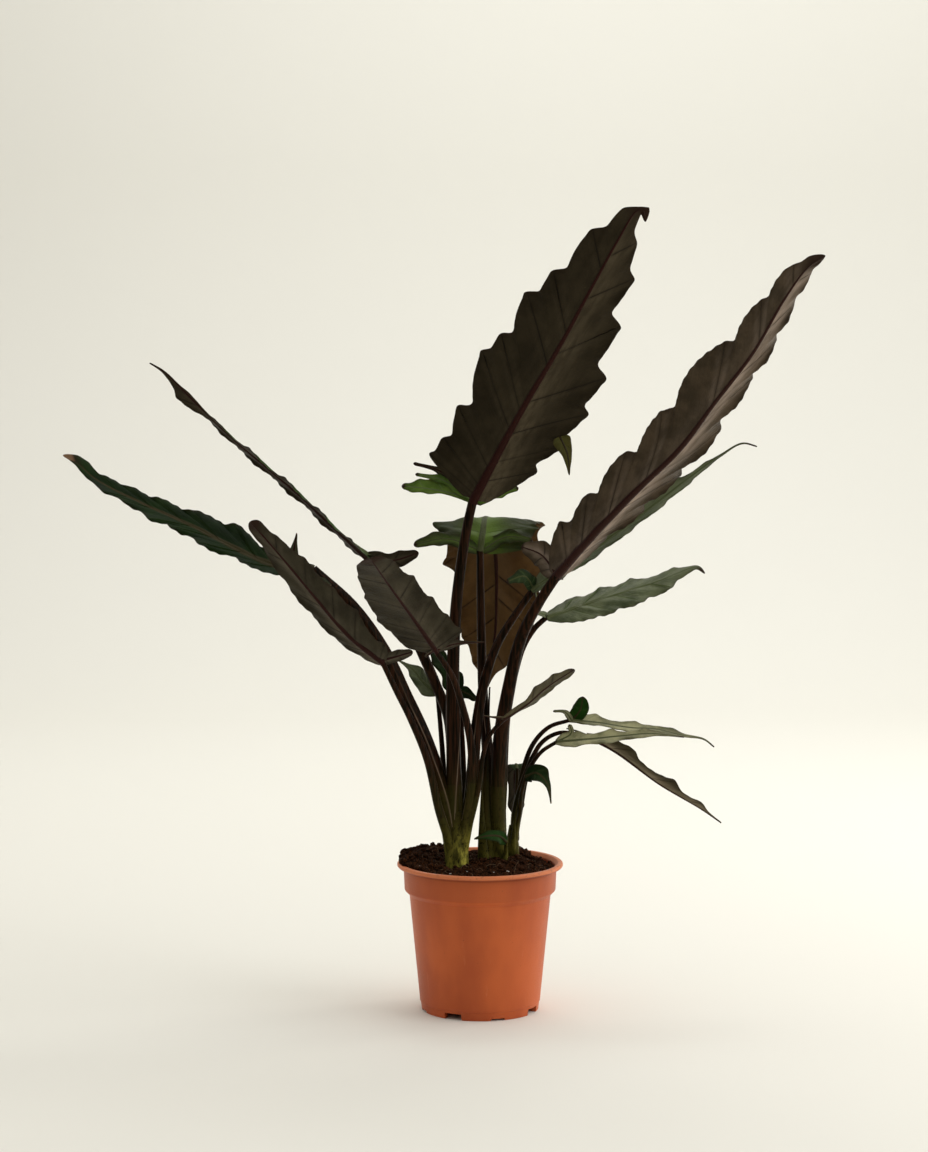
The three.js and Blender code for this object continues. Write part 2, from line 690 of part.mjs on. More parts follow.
// The margin at a part t of the way from tooth k-1 to tooth k: a quick drop, then a slow swell
function marginPoint(ends, k, t) {
  const [fromAlong, fromOut] = ends[k - 1];
  const [toAlong, toOut] = ends[k];
  const along = mix(fromAlong, toAlong, t);
  if (k === 1) return [along, mix(fromOut, toOut, Math.sin((Math.PI / 2) * t) ** 0.8)];
  const bite = t < NOTCH_AT
    ? Math.sin((Math.PI / 2) * (t / NOTCH_AT))
    : 1 - ((t - NOTCH_AT) / (1 - NOTCH_AT)) ** 1.8;
  const depth = Math.min(NOTCH_DEPTH * (toAlong - fromAlong), 0.25 * fromOut);
  const out = mix(fromOut, toOut, t) - depth * bite;
  return [along, Math.max(out, NARROWEST_HALF_WIDTH)];
}

// Places on one margin: each tooth's end and notch, then halves of the longest stretches
function marginStations(ends, count) {
  const stations = [];
  for (let k = 1; k < ends.length; k += 1) {
    stations.push({ k, t: 0 });
    if (k > 1) stations.push({ k, t: NOTCH_AT });
  }
  stations.push({ k: ends.length - 1, t: 1 });
  const alongAt = (s) => marginPoint(ends, s.k, s.t)[0];
  while (stations.length < count) {
    let longest = 0;
    let place = 0;
    for (let i = 0; i + 1 < stations.length; i += 1) {
      const stretch = alongAt(stations[i + 1]) - alongAt(stations[i]);
      if (stretch > longest) [longest, place] = [stretch, i];
    }
    const from = stations[place];
    const to = stations[place + 1];
    const endT = to.k === from.k ? to.t : 1;
    stations.splice(place + 1, 0, { k: from.k, t: (from.t + endT) / 2 });
  }
  return stations;
}

// The place on a blade's middle surface: along the spine, and out from it on a side (1 or -1);
// share is how much of the half-width that is, and wave how the margin waves there
function bladePlace(blade, spine, along, out, side, share, wave) {
  const part = along / spine.length;
  const frame = spine.at(part);
  const fold = radians(mix(blade.fold[0], blade.fold[1], part));
  const rise = out * Math.sin(fold) + blade.ruffle * share * share * wave;
  return frame.place
    .addScaledVector(frame.out, side * out * Math.cos(fold))
    .addScaledVector(frame.up, rise);
}

// A closed blade: two like faces a thickness apart, with a rib under the midrib
function bladeSolid(blade, spine, grown) {
  const count = blade.stations;
  const columns = blade.columns;
  const ends = [toothEnds(blade, 0, spine.length), toothEnds(blade, 1, spine.length)];
  const margins = ends.map((e) => marginStations(e, count));
  const wide = columns.length - 1;
  const middle = [];
  const ribs = [];
  for (let i = 0; i < count; i += 1) {
    const edges = margins.map((m, side) => {
      const [along, out] = marginPoint(ends[side], m[i].k, m[i].t);
      const wave = m[i].k === 1 ? 0 : Math.cos(2 * Math.PI * m[i].t) * clamp(out / 20, 0, 1);
      return { along, out: out + grown, wave };
    });
    const mean = (edges[0].along + edges[1].along) / 2 / spine.length;
    const inner = mean * (1 - SWEEP * (1 - mean)) * spine.length;
    const row = [];
    for (let c = -wide; c <= wide; c += 1) {
      const side = c < 0 ? 1 : 0;
      const share = columns[Math.abs(c)];
      const edge = edges[side];
      const along = mix(inner, edge.along, share);
      row.push(bladePlace(blade, spine, along, share * edge.out, side ? -1 : 1, share, edge.wave));
    }
    middle.push(row);
    ribs.push(mix(blade.rib, 0.5, (inner / spine.length) ** 0.6));
  }
  middle[0].forEach((place) => place.addScaledVector(spine.at(0).along, -grown));
  middle[count - 1].forEach((place) => place.addScaledVector(spine.at(1).along, grown));
  return thickened(middle, ribs, BLADE_THICKNESS / 2 + grown);
}

// A closed solid round a grid of places, half a thickness to each side, with a rib below its middle
function thickened(grid, ribs, half) {
  const rows = grid.length;
  const width = grid[0].length;
  const corners = [];
  const triangles = [];
  const normalAt = (i, c) => {
    const down = grid[Math.min(i + 1, rows - 1)][c].clone().sub(grid[Math.max(i - 1, 0)][c]);
    const across = grid[i][Math.min(c + 1, width - 1)].clone().sub(grid[i][Math.max(c - 1, 0)]);
    return across.cross(down).normalize();
  };
  for (let i = 0; i < rows; i += 1) {
    for (let c = 0; c < width; c += 1) {
      const normal = normalAt(i, c);
      const rib = c === (width - 1) / 2 ? ribs[i] : 0;
      corners.push(grid[i][c].clone().addScaledVector(normal, half).toArray());
      corners.push(grid[i][c].clone().addScaledVector(normal, -half - rib).toArray());
    }
  }
  const top = (i, c) => 2 * (i * width + c);
  const under = (i, c) => top(i, c) + 1;
  const quad = (a, b, c, d) => triangles.push([a, b, c], [a, c, d]);
  for (let i = 0; i + 1 < rows; i += 1) {
    for (let c = 0; c + 1 < width; c += 1) {
      quad(top(i, c), top(i, c + 1), top(i + 1, c + 1), top(i + 1, c));
      triangles.push([under(i, c), under(i + 1, c + 1), under(i, c + 1)]);
      triangles.push([under(i, c), under(i + 1, c), under(i + 1, c + 1)]);
    }
    const e = width - 1;
    quad(top(i, e), under(i, e), under(i + 1, e), top(i + 1, e));
    quad(top(i, 0), top(i + 1, 0), under(i + 1, 0), under(i, 0));
  }
  for (let c = 0; c + 1 < width; c += 1) {
    quad(top(rows - 1, c), top(rows - 1, c + 1), under(rows - 1, c + 1), under(rows - 1, c));
    quad(top(0, c), under(0, c), under(0, c + 1), top(0, c + 1));
  }
  return solidFrom(corners, triangles);
}

// The leaves and shoots as solids

// A lobe at a blade's base, which is laid out as a small blade of its own
function lobeParts(leaf, lobe, spine, rib) {
  const [along, out] = lobe.from ?? [3, rib * 0.6];
  const start = bladePlace(leaf, spine, along, out, lobe.side, 1, 0);
  const face = [[0, ...lobe.face], [1, ...lobe.face]];
  const lobeSpine = spineOf([start.toArray(), ...lobe.path], face);
  const blade = {
    width: [lobe.width, lobe.width],
    teeth: [lobe.teeth, lobe.teeth],
    broad: 0.55,
    fold: [0, 0],
    basal: lobe.width * 0.6,
    ruffle: 1,
    blunt: lobe.blunt,
    rib: 1.2,
    stations: 4 + 2 * lobe.teeth,
    columns: [0, 1],
  };
  return { blade, spine: lobeSpine };
}

function leafParts(leaf) {
  const bladeStart = leaf.stalk[leaf.stalk.length - 1];
  const spine = spineOf([bladeStart, ...leaf.spine], leaf.face);
  const rib = leaf.radius[1];
  const large = Math.max(...leaf.width) > 30;
  const mostTeeth = Math.max(...leaf.teeth.map((t) => (Array.isArray(t) ? t.length : t)));
  const ribShare = clamp((rib * 1.1) / Math.max(...leaf.width), 0.1, 0.4);
  const blade = {
    ...leaf,
    rib,
    stations: Math.round(mostTeeth * 2.3) + 3,
    columns: large ? [0, ribShare, 0.55, 1] : [0, 0.5, 1],
  };
  const lobes = leaf.lobes.map((lobe) => lobeParts(leaf, lobe, spine, rib));
  const { root } = shoots[leaf.shoot];
  const first = leaf.stalk[0];
  const foot = [mix(root[0], first[0], 0.5), mix(root[1], first[1], 0.5), SOIL_LEVEL - STEM_DEPTH];
  const stalk = new THREE.CatmullRomCurve3([foot, ...leaf.stalk].map(vector), false, 'centripetal');
  stalk.arcLengthDivisions = 300;
  const stalkLength = stalk.getLength();
  let sheathPart = 0;
  while (stalk.getPointAt(sheathPart).z < leaf.sheath) sheathPart += 0.005;
  const radiusAt = (part) => mix(leaf.radius[0], leaf.radius[1], part ** 0.8);
  return { leaf, blade, spine, lobes, stalk, stalkLength, sheathPart, radiusAt };
}

function leafBladeSolid(parts, grown) {
  let solid = bladeSolid(parts.blade, parts.spine, grown);
  parts.lobes.forEach((lobe) => {
    solid = solid.add(bladeSolid(lobe.blade, lobe.spine, grown));
  });
  return solid;
}

function leafStalkSolid(parts, grown) {
  const gapPart = GAP / parts.stalkLength;
  const from = parts.sheathPart + gapPart;
  const length = parts.stalkLength * (1 - from);
  const steps = clamp(Math.round(length / 26), 3, 10);
  const radiusAt = (part) => parts.radiusAt(part) + grown;
  return stalkSolid(parts.stalk, radiusAt, from, 1 - gapPart, steps, STALK_SIDES);
}

// A shoot: its core in the soil, with the lower ends of its leaves' stalks wrapped round it
function shootSolid(name, members, grown) {
  const { root, radius, top } = shoots[name];
  const bottom = SOIL_LEVEL - STEM_DEPTH - 2;
  const profile = [
    [0, bottom - grown],
    [radius * 0.8 + grown, bottom - grown],
    [radius + grown, bottom + SHOOT_FOOT],
    [radius + grown, SOIL_LEVEL + SHOOT_SHOULDER],
    [radius * 0.5 + grown, top + grown],
    [0, top + grown],
  ];
  let solid = turned(profile, SHOOT_SIDES).translate([root[0], root[1], 0]);
  members.forEach((parts) => {
    const radiusAt = (part) => parts.radiusAt(part) + grown;
    solid = solid.add(stalkSolid(parts.stalk, radiusAt, 0, parts.sheathPart, 4, STALK_SIDES));
  });
  return solid;
}

const allParts = leaves.map(leafParts);
const made = [];

// Adds a piece, cut back a little wherever it would touch the pieces before it
function addPiece(name, material, shape) {
  let solid = shape(0);
  const box = solid.boundingBox();
  made.forEach((other) => {
    const apart = [0, 1, 2].some((axis) => (
      box.min[axis] > other.box.max[axis] + GAP || box.max[axis] < other.box.min[axis] - GAP));
    if (apart) return;
    const cut = solid.subtract(other.fat());
    if (solid.volume() - cut.volume() > 0.001) solid = cut;
  });
  solid = largest(solid);
  let fatSolid = null;
  const fat = () => {
    fatSolid = fatSolid ?? shape(GAP);
    return fatSolid;
  };
  made.push({ name, material, solid, box: solid.boundingBox(), fat });
}

addPiece('pot', finishes.pot, (grown) => (grown ? turned(potProfile(grown), POT_SIDES / 2) : potSolid()));
Object.keys(shoots).forEach((name) => {
  const members = allParts.filter((parts) => parts.leaf.shoot === name);
  addPiece(`${name}_shoot`, finishes.shoot, (grown) => shootSolid(name, members, grown));
});
allParts.forEach((parts) => {
  const material = parts.leaf.green ? finishes.green : finishes.dark;
  addPiece(`${parts.leaf.name}_blade`, material, (grown) => leafBladeSolid(parts, grown));
});
allParts.forEach((parts) => {
  addPiece(`${parts.leaf.name}_stalk`, finishes.stalk, (grown) => leafStalkSolid(parts, grown));
});
addPiece('soil', finishes.soil, soilSolid);

const plant = new THREE.Group();
plant.name = 'potted_alocasia';
made.forEach(({ name, solid, material }) => plant.add(meshOf(name, solid, material)));

export default plant;
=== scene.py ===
import math
import random

import bmesh
import bpy
import numpy as np
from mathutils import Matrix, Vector, noise


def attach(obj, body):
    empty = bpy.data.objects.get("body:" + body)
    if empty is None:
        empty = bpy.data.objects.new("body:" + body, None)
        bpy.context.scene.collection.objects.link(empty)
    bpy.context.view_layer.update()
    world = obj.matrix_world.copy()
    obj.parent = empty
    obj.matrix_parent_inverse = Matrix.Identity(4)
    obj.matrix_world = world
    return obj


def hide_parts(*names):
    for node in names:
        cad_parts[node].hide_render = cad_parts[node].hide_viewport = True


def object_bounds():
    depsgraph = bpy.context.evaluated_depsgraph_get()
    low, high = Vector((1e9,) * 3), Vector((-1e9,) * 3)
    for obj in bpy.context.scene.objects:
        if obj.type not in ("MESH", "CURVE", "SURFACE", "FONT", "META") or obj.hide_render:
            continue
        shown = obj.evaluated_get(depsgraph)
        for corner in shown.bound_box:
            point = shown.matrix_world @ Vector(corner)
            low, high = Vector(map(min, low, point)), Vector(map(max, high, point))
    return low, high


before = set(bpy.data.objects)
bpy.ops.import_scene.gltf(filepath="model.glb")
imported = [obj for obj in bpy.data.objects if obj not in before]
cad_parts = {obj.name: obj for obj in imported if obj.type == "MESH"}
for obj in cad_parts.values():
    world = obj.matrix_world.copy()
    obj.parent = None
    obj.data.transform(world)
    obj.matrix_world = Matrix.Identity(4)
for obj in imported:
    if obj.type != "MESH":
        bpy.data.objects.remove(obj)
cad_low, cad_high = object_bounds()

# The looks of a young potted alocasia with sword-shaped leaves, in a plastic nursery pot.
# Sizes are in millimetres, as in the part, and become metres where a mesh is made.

MM = 0.001

# Camera: where it stands, how far it looks down, and the focal length in pixels of the photograph
CAMERA_PLACE = (-16.5, -2700, 656)
CAMERA_PITCH_DEG = 4.45
CAMERA_FOCAL_PX = 2661
PHOTO_HEIGHT_PX = 1152
SENSOR = 36

# The pot, as in the part, with the small roundings of its mould
RIM_RADIUS = 85
POT_HEIGHT = 152
BASE_RADIUS = 60
WALL = 2.4
LIP_HEIGHT = 4.5
LIP_INNER_RADIUS = 80
LIP_EDGE = 1.2
COLLAR_RADIUS = 78.5
COLLAR_BOTTOM_RADIUS = 77.5
COLLAR_BOTTOM = 124
STEP_RADIUS = 72.5
STEP_BOTTOM = 119
FLOOR_HEIGHT = 9
FOOT_WIDTH = 6
FOOT_FLARE = 1.6
PAD_RADIUS = 14
POT_SIDES = 192
DEEP_NOTCH = {"width": 20, "height": 6.5, "first_angle": 62.4}
SHALLOW_NOTCH = {"width": 15, "height": 2.2, "first_angle": 17.4}
NOTCHES_OF_A_KIND = 4
DRAIN = {"radius": 4.5, "circle": 36, "count": 6, "sides": 40}

# The soil
SOIL_LEVEL = 145
STEM_DEPTH = 28
SOIL_RINGS = 84
SOIL_SIDES = 220
SOIL_BOTTOM = COLLAR_BOTTOM + 3
CRUMB_REACH = 75
CRUMBS = 1300
LIP_CRUMBS = 200
FIBRES = 90
STANDING_FIBRE = ((34, -48, 147), (34.5, -47, 152), (36, -46, 157), (39, -45, 161))
FLECKS = 16
FLECK_SPOTS = ((-13, -71, 1.9), (23, -62, 1.2), (15, -45, 1.2))

# Common to all leaves
BLADE_THICKNESS = 0.8
EDGE_THICKNESS = 0.35
NARROWEST_HALF_WIDTH = 0.9
NOTCH_AT = 0.17
NOTCH_DEPTH = 0.18
DEEPEST_NOTCH = 0.36
SWEEP = 0.65
BLUNT_SHARE = 0.42
SCALLOP = 1.8
WEDGE = 0
KNOB = 2.6
KNOB_WIDTH = 4.4
BULGE = (0, 0)
QUILT = 0.04
# The painted highlight beside the midrib on each side, for leaves that give none of their own
PAINTED_SHEEN = (0.4, 0.6)
ROW_STEP = 2.2
COLUMN_STEP = 2.6
TIP_ROUNDING = 2.7
SOFT_REACH = 2.5
RIPPLE = 0.28
VEIN_DEPTH = 0.22
VEIN_HEIGHT = 0.42
RIB_COLUMNS = (0, 0.25, 0.48, 0.68, 0.82, 1.0)
VEIN_OFFSETS = (-2.2, -1.2, -0.5, 0, 0.5, 1.2, 2.2)
CLOSING_ROWS = (0.4, 1, 2, 3.2, 4.6, 6.2)
BLADE_VALUES = ("upper", "vein", "rib", "edge", "sheen")

# Common to all stalks and sheaths
STALK_SIDES = 48
STALK_FULLNESS = 1.12
LOWER_STALK = ((0.05, SOIL_LEVEL - STEM_DEPTH), (0.15, SOIL_LEVEL + 5), (0.5, SOIL_LEVEL + 33))
STALK_STEP = 3.5
INTO_BLADE = 2
LOW_STALK = 190
SHEATH_ROWS = 50
SHEATH_FLATNESS = 0.7

# The shoots: the place of each in the soil, its radius there, the height its core reaches and,
# where only the left of its foot is shaded, the span of x in metres over which that fades
SHOOT_SHOULDER = 16
SHOOT_FOOT = 12
SHOOTS = {
    "front": {"root": (-24, -3), "radius": 12, "top": 205, "shade": (-0.034, -0.018)},
    "rear": {"root": (18, 29), "radius": 11, "top": 200},
    "side": {"root": (34, 45), "radius": 7, "top": 182},
}

# Old sheaths between the stalks: bladeless leaves that hug a shoot and end in a point
SHEATHS = [
    {"shoot": "front", "radius": (9, 0.8),
     "places": [(-22, 7, 150), (-13, 10, 200), (-8, 10, 255), (-6, 9, 300)]},
    {"shoot": "front", "radius": (6, 0.7), "places": [(-20, -7, 150), (-11, -11, 190), (-5, -10, 232)]},
    {"shoot": "rear", "radius": (9, 0.8),
     "places": [(8, 22, 150), (7, 22, 210), (8, 20, 280), (10, 18, 330)]},
    {"shoot": "rear", "radius": (7, 0.7), "places": [(4, 14, 150), (2, 12, 195), (2, 11, 240)]},
    {"shoot": "side", "radius": (5, 0.6), "places": [(34, 40, 150), (36, 36, 185), (40, 33, 212)]},
]


def leaf(name, shoot, **values):
    return {"name": name, "shoot": shoot, "lobes": [], **values}


def lobe(side, path, face, width, teeth, **more):
    return {"side": side, "path": path, "face": face, "width": width, "teeth": teeth, **more}


# The leaves, with the same values and the same meaning as in the part. Stalk and spine are places
# from the soil to the blade and on to its tip, radius is the stalk's at the soil and at the blade,
# sheath is how high the stalk is wrapped into its shoot, and face is the way that the upper side
# looks. Width, basal, teeth, wedge, notch, scallop, bulge and blunt shape the margin; fold, ruffle
# and quilt shape the surface. Sheen is the share of painted highlight beside the midrib on each
# side, and kind the colours. A lobe grows from its leaf's foot, or from where start gives: so far
# along and so far out.
LEAVES = [
    leaf("tall_leaf", "front", sheath=232, radius=(9, 4.6), width=(65, 62), fold=(14, 6), basal=9,
         ruffle=3, wedge=0.75, notch=0.28, scallop=1.35, bulge=(0.11, 0.05), sheen=(0.2, 0.85),
         stalk=[(-26, -1, 190), (-27, 0, 260), (-28, 0, 339), (-24, -1, 421), (-14, -5, 493),
                (-8, -8, 521)],
         spine=[(20, -25, 575), (44, -48, 620), (78, -78, 679), (106, -103, 732), (132, -120, 780),
                (149, -124, 807), (155, -124, 808.5), (158, -123, 797)],
         face=[(0, 0.1, 0.95, 0.3), (1, 0.1, 0.95, 0.25)],
         teeth=[[(21, 65), (43, 57), (79, 59), (143, 65), (169, 56), (224, 55), (257, 41), (312, 27)],
                [(56, 46), (93, 59), (138, 62), (182, 58), (237, 45), (288, 34), (322, 18)]],
         lobes=[
             lobe(1, [(-44, 6, 533), (-80, 12, 537)], (0.2, -0.9, 0.4), 9,
                  [[(24, 15), (44, 16), (60, 11)], [(30, 3), (48, 7), (66, 7)]], notch=0.3, kind="fresh"),
             lobe(1, [(-38, 8, 543), (-66, 13, 549)], (0.2, -0.9, 0.4), 5,
                  [[(22, 6), (44, 6)], [(24, 6), (46, 5)]], notch=0.2, kind="fresh"),
             lobe(1, [(-40, 10, 552), (-68, 14, 560)], (0.2, 0.9, 0.4), 5,
                  [[(24, 6), (46, 6)], [(26, 6), (46, 5)]], notch=0.3),
             lobe(-1, [(18, 8, 530), (39, 14, 535)], (-0.2, -0.9, 0.4), 9,
                  [[(16, 7), (32, 8)], [(18, 9), (34, 10)]], notch=0.3, kind="fresh"),
             lobe(-1, [(87, -32, 571), (89, -35, 550)], (0.2, -0.95, 0.1), 10,
                  [[(3, 11), (16, 7), (28, 4)], [(3, 11), (16, 6), (28, 3)]],
                  start=(101, 48), notch=0.05, pointed=True, kind="glow"),
         ]),
    leaf("arching_leaf", "rear", sheath=225, radius=(7, 3.6), width=(58, 56),
         fold=[(0, -4), (0.12, -12), (0.24, -10), (0.45, 2), (1, 6)], basal=10, ruffle=4, quilt=0.085,
         sheen=(0.95, 0.8), kind="lit",
         stalk=[(11, 30, 215), (7, 31, 270), (3, 30, 325), (1, 28, 398), (0, 25, 468)],
         spine=[(3, 36, 489), (6, 62, 503), (12, 92, 489), (17, 110, 457), (18, 122, 411), (16, 128, 368),
                (5, 132, 306)],
         face=[(0, 0, -0.9, 0.35), (0.14, 0, -0.3, 0.95), (0.3, 0, 0.8, 0.6), (1, 0.1, 1, 0.1)],
         teeth=[[(14, 48), (46, 58), (94, 57), (139, 55), (186, 47), (206, 39), (246, 17)],
                [(12, 46), (46, 56), (90, 57), (135, 57), (194, 49), (222, 35), (249, 19)]],
         lobes=[
             lobe(-1, [(-34, 26, 482), (-68, 22, 476)], (0.1, -0.85, 0.5), 10,
                  [[(24, 8), (48, 10), (62, 6)], [(20, 9), (44, 9), (60, 5)]]),
             lobe(1, [(28, 28, 484), (54, 24, 480)], (-0.1, -0.85, 0.5), 9, 2),
         ]),
    leaf("right_long_leaf", "rear", sheath=228, radius=(10, 4.8), width=(36, 38), fold=(38, 20), basal=9,
         ruffle=4.2, notch=0.28, scallop=0.9, bulge=(0.17, 0.09), quilt=0.07, sheen=(0.12, 1.0),
         kind="taupe",
         stalk=[(18, 22, 212), (21, 15, 276), (29, 8, 328), (41, -2, 381), (59, -12, 419),
                (76, -20, 446)],
         spine=[(120, -40, 497), (160, -60, 540), (196, -80, 577), (228, -102, 623), (262, -126, 671),
                (290, -147, 723), (310, -159, 752), (326, -165, 763)],
         face=[(0, -0.05, 0.9, 0.4), (1, -0.1, 0.9, 0.35)],
         teeth=[[(45, 34), (84, 32), (142, 34), (206, 36), (303, 27), (361, 17), (405, 11)],
                [(60, 24), (105, 38), (160, 35), (221, 33), (285, 23), (330, 20), (372, 16), (408, 10)]],
         lobes=[
             lobe(1, [(62, -8, 468), (42, 0, 476)], (-0.1, 0.95, 0.3), 15, 2),
             lobe(-1, [(80, -8, 444), (84, -4, 443)], (0.3, 0.4, 0.8), 5, 1),
         ]),
    leaf("right_rear_leaf", "front", sheath=228, radius=(8, 3.4), width=(22, 16), fold=(20, 15), basal=6,
         ruffle=2, kind="grey",
         stalk=[(-10, 5, 215), (-4, 5, 287), (2, 5, 327), (9, 6, 353), (19, 9, 378), (36, 13, 405),
                (53, 15, 429)],
         spine=[(92, 15, 456), (123, 18, 476), (164, 20, 506), (215, 24, 545), (247, 26, 568),
                (268, 24, 580), (283, 22, 577)],
         face=[(0, -0.3, -0.55, 0.75), (0.4, -0.4, -0.75, 0.55), (1, -0.4, -0.75, 0.55)],
         teeth=[[(34, 22), (76, 18), (120, 14), (160, 13), (196, 10), (222, 5)],
                [(40, 16), (90, 16), (139, 14), (187, 11), (222, 4)]],
         lobes=[
             lobe(-1, [(45, 6, 445), (27, 0, 440)], (0.3, -0.9, 0.3), 8,
                  [[(10, 9), (24, 9)], [(9, 8), (19, 10), (29, 7)]], notch=0.25, kind="soft"),
             lobe(1, [(58, 16, 422), (61, 20, 414)], (0.3, -0.3, 0.8), 5, 1),
         ]),
    leaf("right_middle_leaf", "rear", sheath=232, radius=(6, 2.8), width=(22, 18), fold=(-12, -8),
         basal=5, ruffle=2.5, notch=0.12, bulge=(0.03, 0.03), quilt=0.1, kind="grey",
         stalk=[(23, 38, 215), (28, 40, 298), (36, 42, 340), (45, 45, 369), (57, 48, 388), (69, 50, 399)],
         spine=[(104, 58, 410), (142, 62, 422), (173, 65, 431), (205, 66, 443), (226, 65, 450),
                (234, 60, 444)],
         face=[(0, -0.1, -0.65, 0.75), (1, -0.2, -0.6, 0.75)],
         teeth=[[(50, 21), (70, 22), (102, 21), (135, 17)],
                [(37, 17), (67, 19), (100, 18), (146, 11)]],
         lobes=[
             lobe(-1, [(62, 46, 403), (56, 42, 404)], (-0.1, -0.8, 0.6), 5, 1),
             lobe(1, [(72, 60, 396), (72, 70, 394)], (0, 0, 1), 6, 1),
         ]),
    leaf("right_small_leaf", "front", sheath=222, radius=(4, 2), width=(15, 20), fold=(10, 5), basal=4,
         ruffle=1.5, notch=0.06, sheen=(0.15, 0.15), blunt=True, kind="olive",
         stalk=[(-5, -13, 215), (0, -15, 240), (3, -17, 265), (10, -22, 286), (23, -27, 302)],
         spine=[(46, -34, 318), (68, -42, 338), (94, -50, 356)],
         face=[(0, -0.5, 0.5, 0.7), (1, -0.4, 0.6, 0.7)],
         teeth=[[(24, 8), (52, 13), (74, 12)],
                [(19, 8), (38, 18), (68, 13)]],
         lobes=[
             lobe(1, [(14, -30, 305), (3, -32, 307)], (-0.3, 0.6, 0.6), 2.5, 1, pointed=True),
         ]),
    leaf("drooping_upper_leaf", "side", sheath=196, radius=(4, 2), width=(12, 12), fold=(15, 5), basal=4,
         ruffle=2, kind="olive",
         stalk=[(39, 48, 200), (46, 48, 242), (56, 46, 268), (72, 45, 285), (93, 45, 292)],
         spine=[(125, 42, 289), (158, 42, 284), (182, 42, 283), (208, 41, 277), (232, 40, 273),
                (243, 38, 265)],
         face=[(0, 0, -0.4, 0.9), (1, 0, -0.5, 0.85)], teeth=[3, 3],
         lobes=[
             lobe(-1, [(104, 44, 303), (107, 43, 317)], (0.2, -0.9, 0.2), 9,
                  [[(8, 8), (17, 9)], [(8, 8), (17, 9)]], notch=0.03, kind="bright"),
             lobe(1, [(88, 43, 301), (76, 41, 302)], (0, -0.7, 0.6), 4, 1),
         ]),
    leaf("drooping_middle_leaf", "side", sheath=196, radius=(4, 1.9), width=(12, 12), fold=(10, 5),
         basal=4, ruffle=2, kind="olive",
         stalk=[(42, 40, 200), (50, 32, 240), (63, 22, 262), (78, 16, 273)],
         spine=[(108, 13, 276), (144, 10, 280), (174, 7, 283), (209, 5, 280)],
         face=[(0, 0, -0.6, 0.8), (1, 0, -0.6, 0.8)], teeth=[3, 3],
         lobes=[
             lobe(-1, [(94, 20, 282), (92, 21, 291)], (0, -0.9, 0.3), 6, 1),
         ]),
    leaf("drooping_lower_leaf", "side", sheath=196, radius=(4, 1.9), width=(15, 9), fold=(42, 25),
         basal=4, ruffle=2, sheen=(1.0, 1.0), kind="olive",
         stalk=[(37, 43, 200), (49, 40, 240), (64, 35, 270), (83, 31, 281), (109, 30, 278)],
         spine=[(139, 28, 262), (186, 24, 228), (227, 20, 204), (249, 18, 189)],
         face=[(0, 0.3, 0.3, 0.85), (1, 0.35, 0.4, 0.8)],
         teeth=[[(50, 15), (105, 15), (140, 8)],
                [(50, 8), (105, 8), (140, 5)]],
         lobes=[
             lobe(1, [(100, 38, 282), (90, 42, 284)], (0.2, 0.2, 1), 4, 1),
         ]),
    leaf("low_right_leaf", "side", sheath=186, radius=(3.5, 1.8), width=(13, 13), fold=(10, 5), basal=5,
         ruffle=1, kind="young",
         stalk=[(41, 36, 195), (43, 28, 218), (47, 21, 236)],
         spine=[(58, 15, 241), (69, 9, 231), (73, 6, 211)],
         face=[(0, 0.15, -0.75, 0.65), (1, 0.7, -0.65, 0.3)], teeth=[1, 1]),
    leaf("low_rear_leaf", "side", sheath=188, radius=(3.5, 1.8), width=(13, 12), fold=(5, 5), basal=4,
         ruffle=1, kind="soft",
         stalk=[(38, 54, 200), (39, 57, 238)],
         spine=[(38, 62, 243), (37, 69, 226), (38, 72, 196), (41, 72, 161)],
         face=[(0, 0, -0.5, 0.9), (0.25, 0, 0.7, 0.6), (1, 0, 1, 0.1)], teeth=[2, 2]),
    leaf("base_leaf", "rear", sheath=150, radius=(3, 1.8), width=(7.5, 7.5), fold=(5, 5), basal=3,
         ruffle=0.8, notch=0.05, kind="bright",
         stalk=[(26, 16, 158), (27, 10, 170)],
         spine=[(20, 4, 177), (8, -3, 179), (-6, -9, 177)],
         face=[(0, 0, -0.85, 0.5), (1, 0, -0.85, 0.5)], teeth=[2, 2]),
    leaf("left_upper_leaf", "front", sheath=228, radius=(6.5, 4.6), width=(24, 24), fold=(-14, -4),
         basal=7, ruffle=3,
         stalk=[(-27, 11, 215), (-32, 17, 297), (-44, 17, 330), (-61, 14, 369), (-84, 8, 421),
                (-113, 0, 464)],
         spine=[(-147, -3, 495), (-183, -5, 529), (-218, -8, 559), (-253, -10, 589), (-298, -12, 633),
                (-318, -12, 653), (-333, -12, 662)],
         face=[(0, 0.64, 0.32, 0.7), (0.7, 0.64, 0.32, 0.7), (0.84, 0.3, 0.9, 0.35), (1, 0.3, 0.9, 0.35)],
         teeth=[[(32, 16), (78, 18), (124, 19), (172, 17), (214, 14), (254, 13)],
                [(28, 16), (70, 18), (118, 17), (166, 14), (208, 8), (250, 3)]],
         lobes=[
             lobe(-1, [(-90, 12, 461), (-63, 20, 468)], (0.1, 0.9, 0.2), 9,
                  [[(14, 8), (40, 9)], [(14, 8), (40, 9)]], notch=0.04),
             lobe(1, [(-98, -12, 462), (-84, -20, 458)], (0.4, 0.5, 0.9), 7, 1),
         ]),
    leaf("left_inner_leaf", "front", sheath=236, radius=(6, 2.8), width=(37, 34), fold=(12, 8), basal=8,
         ruffle=1.3, notch=0.06, bulge=(0.03, 0.03), quilt=0.035, sheen=(0.15, 0.3), blunt=True,
         kind="soft",
         stalk=[(-10, -11, 215), (-8, -15, 245), (-10, -19, 280), (-20, -25, 322), (-29, -31, 348),
                (-44, -37, 372)],
         spine=[(-65, -70, 406), (-88, -120, 444), (-106, -170, 476)],
         face=[(0, -0.15, 0.5, 0.85), (1, -0.15, 0.5, 0.85)],
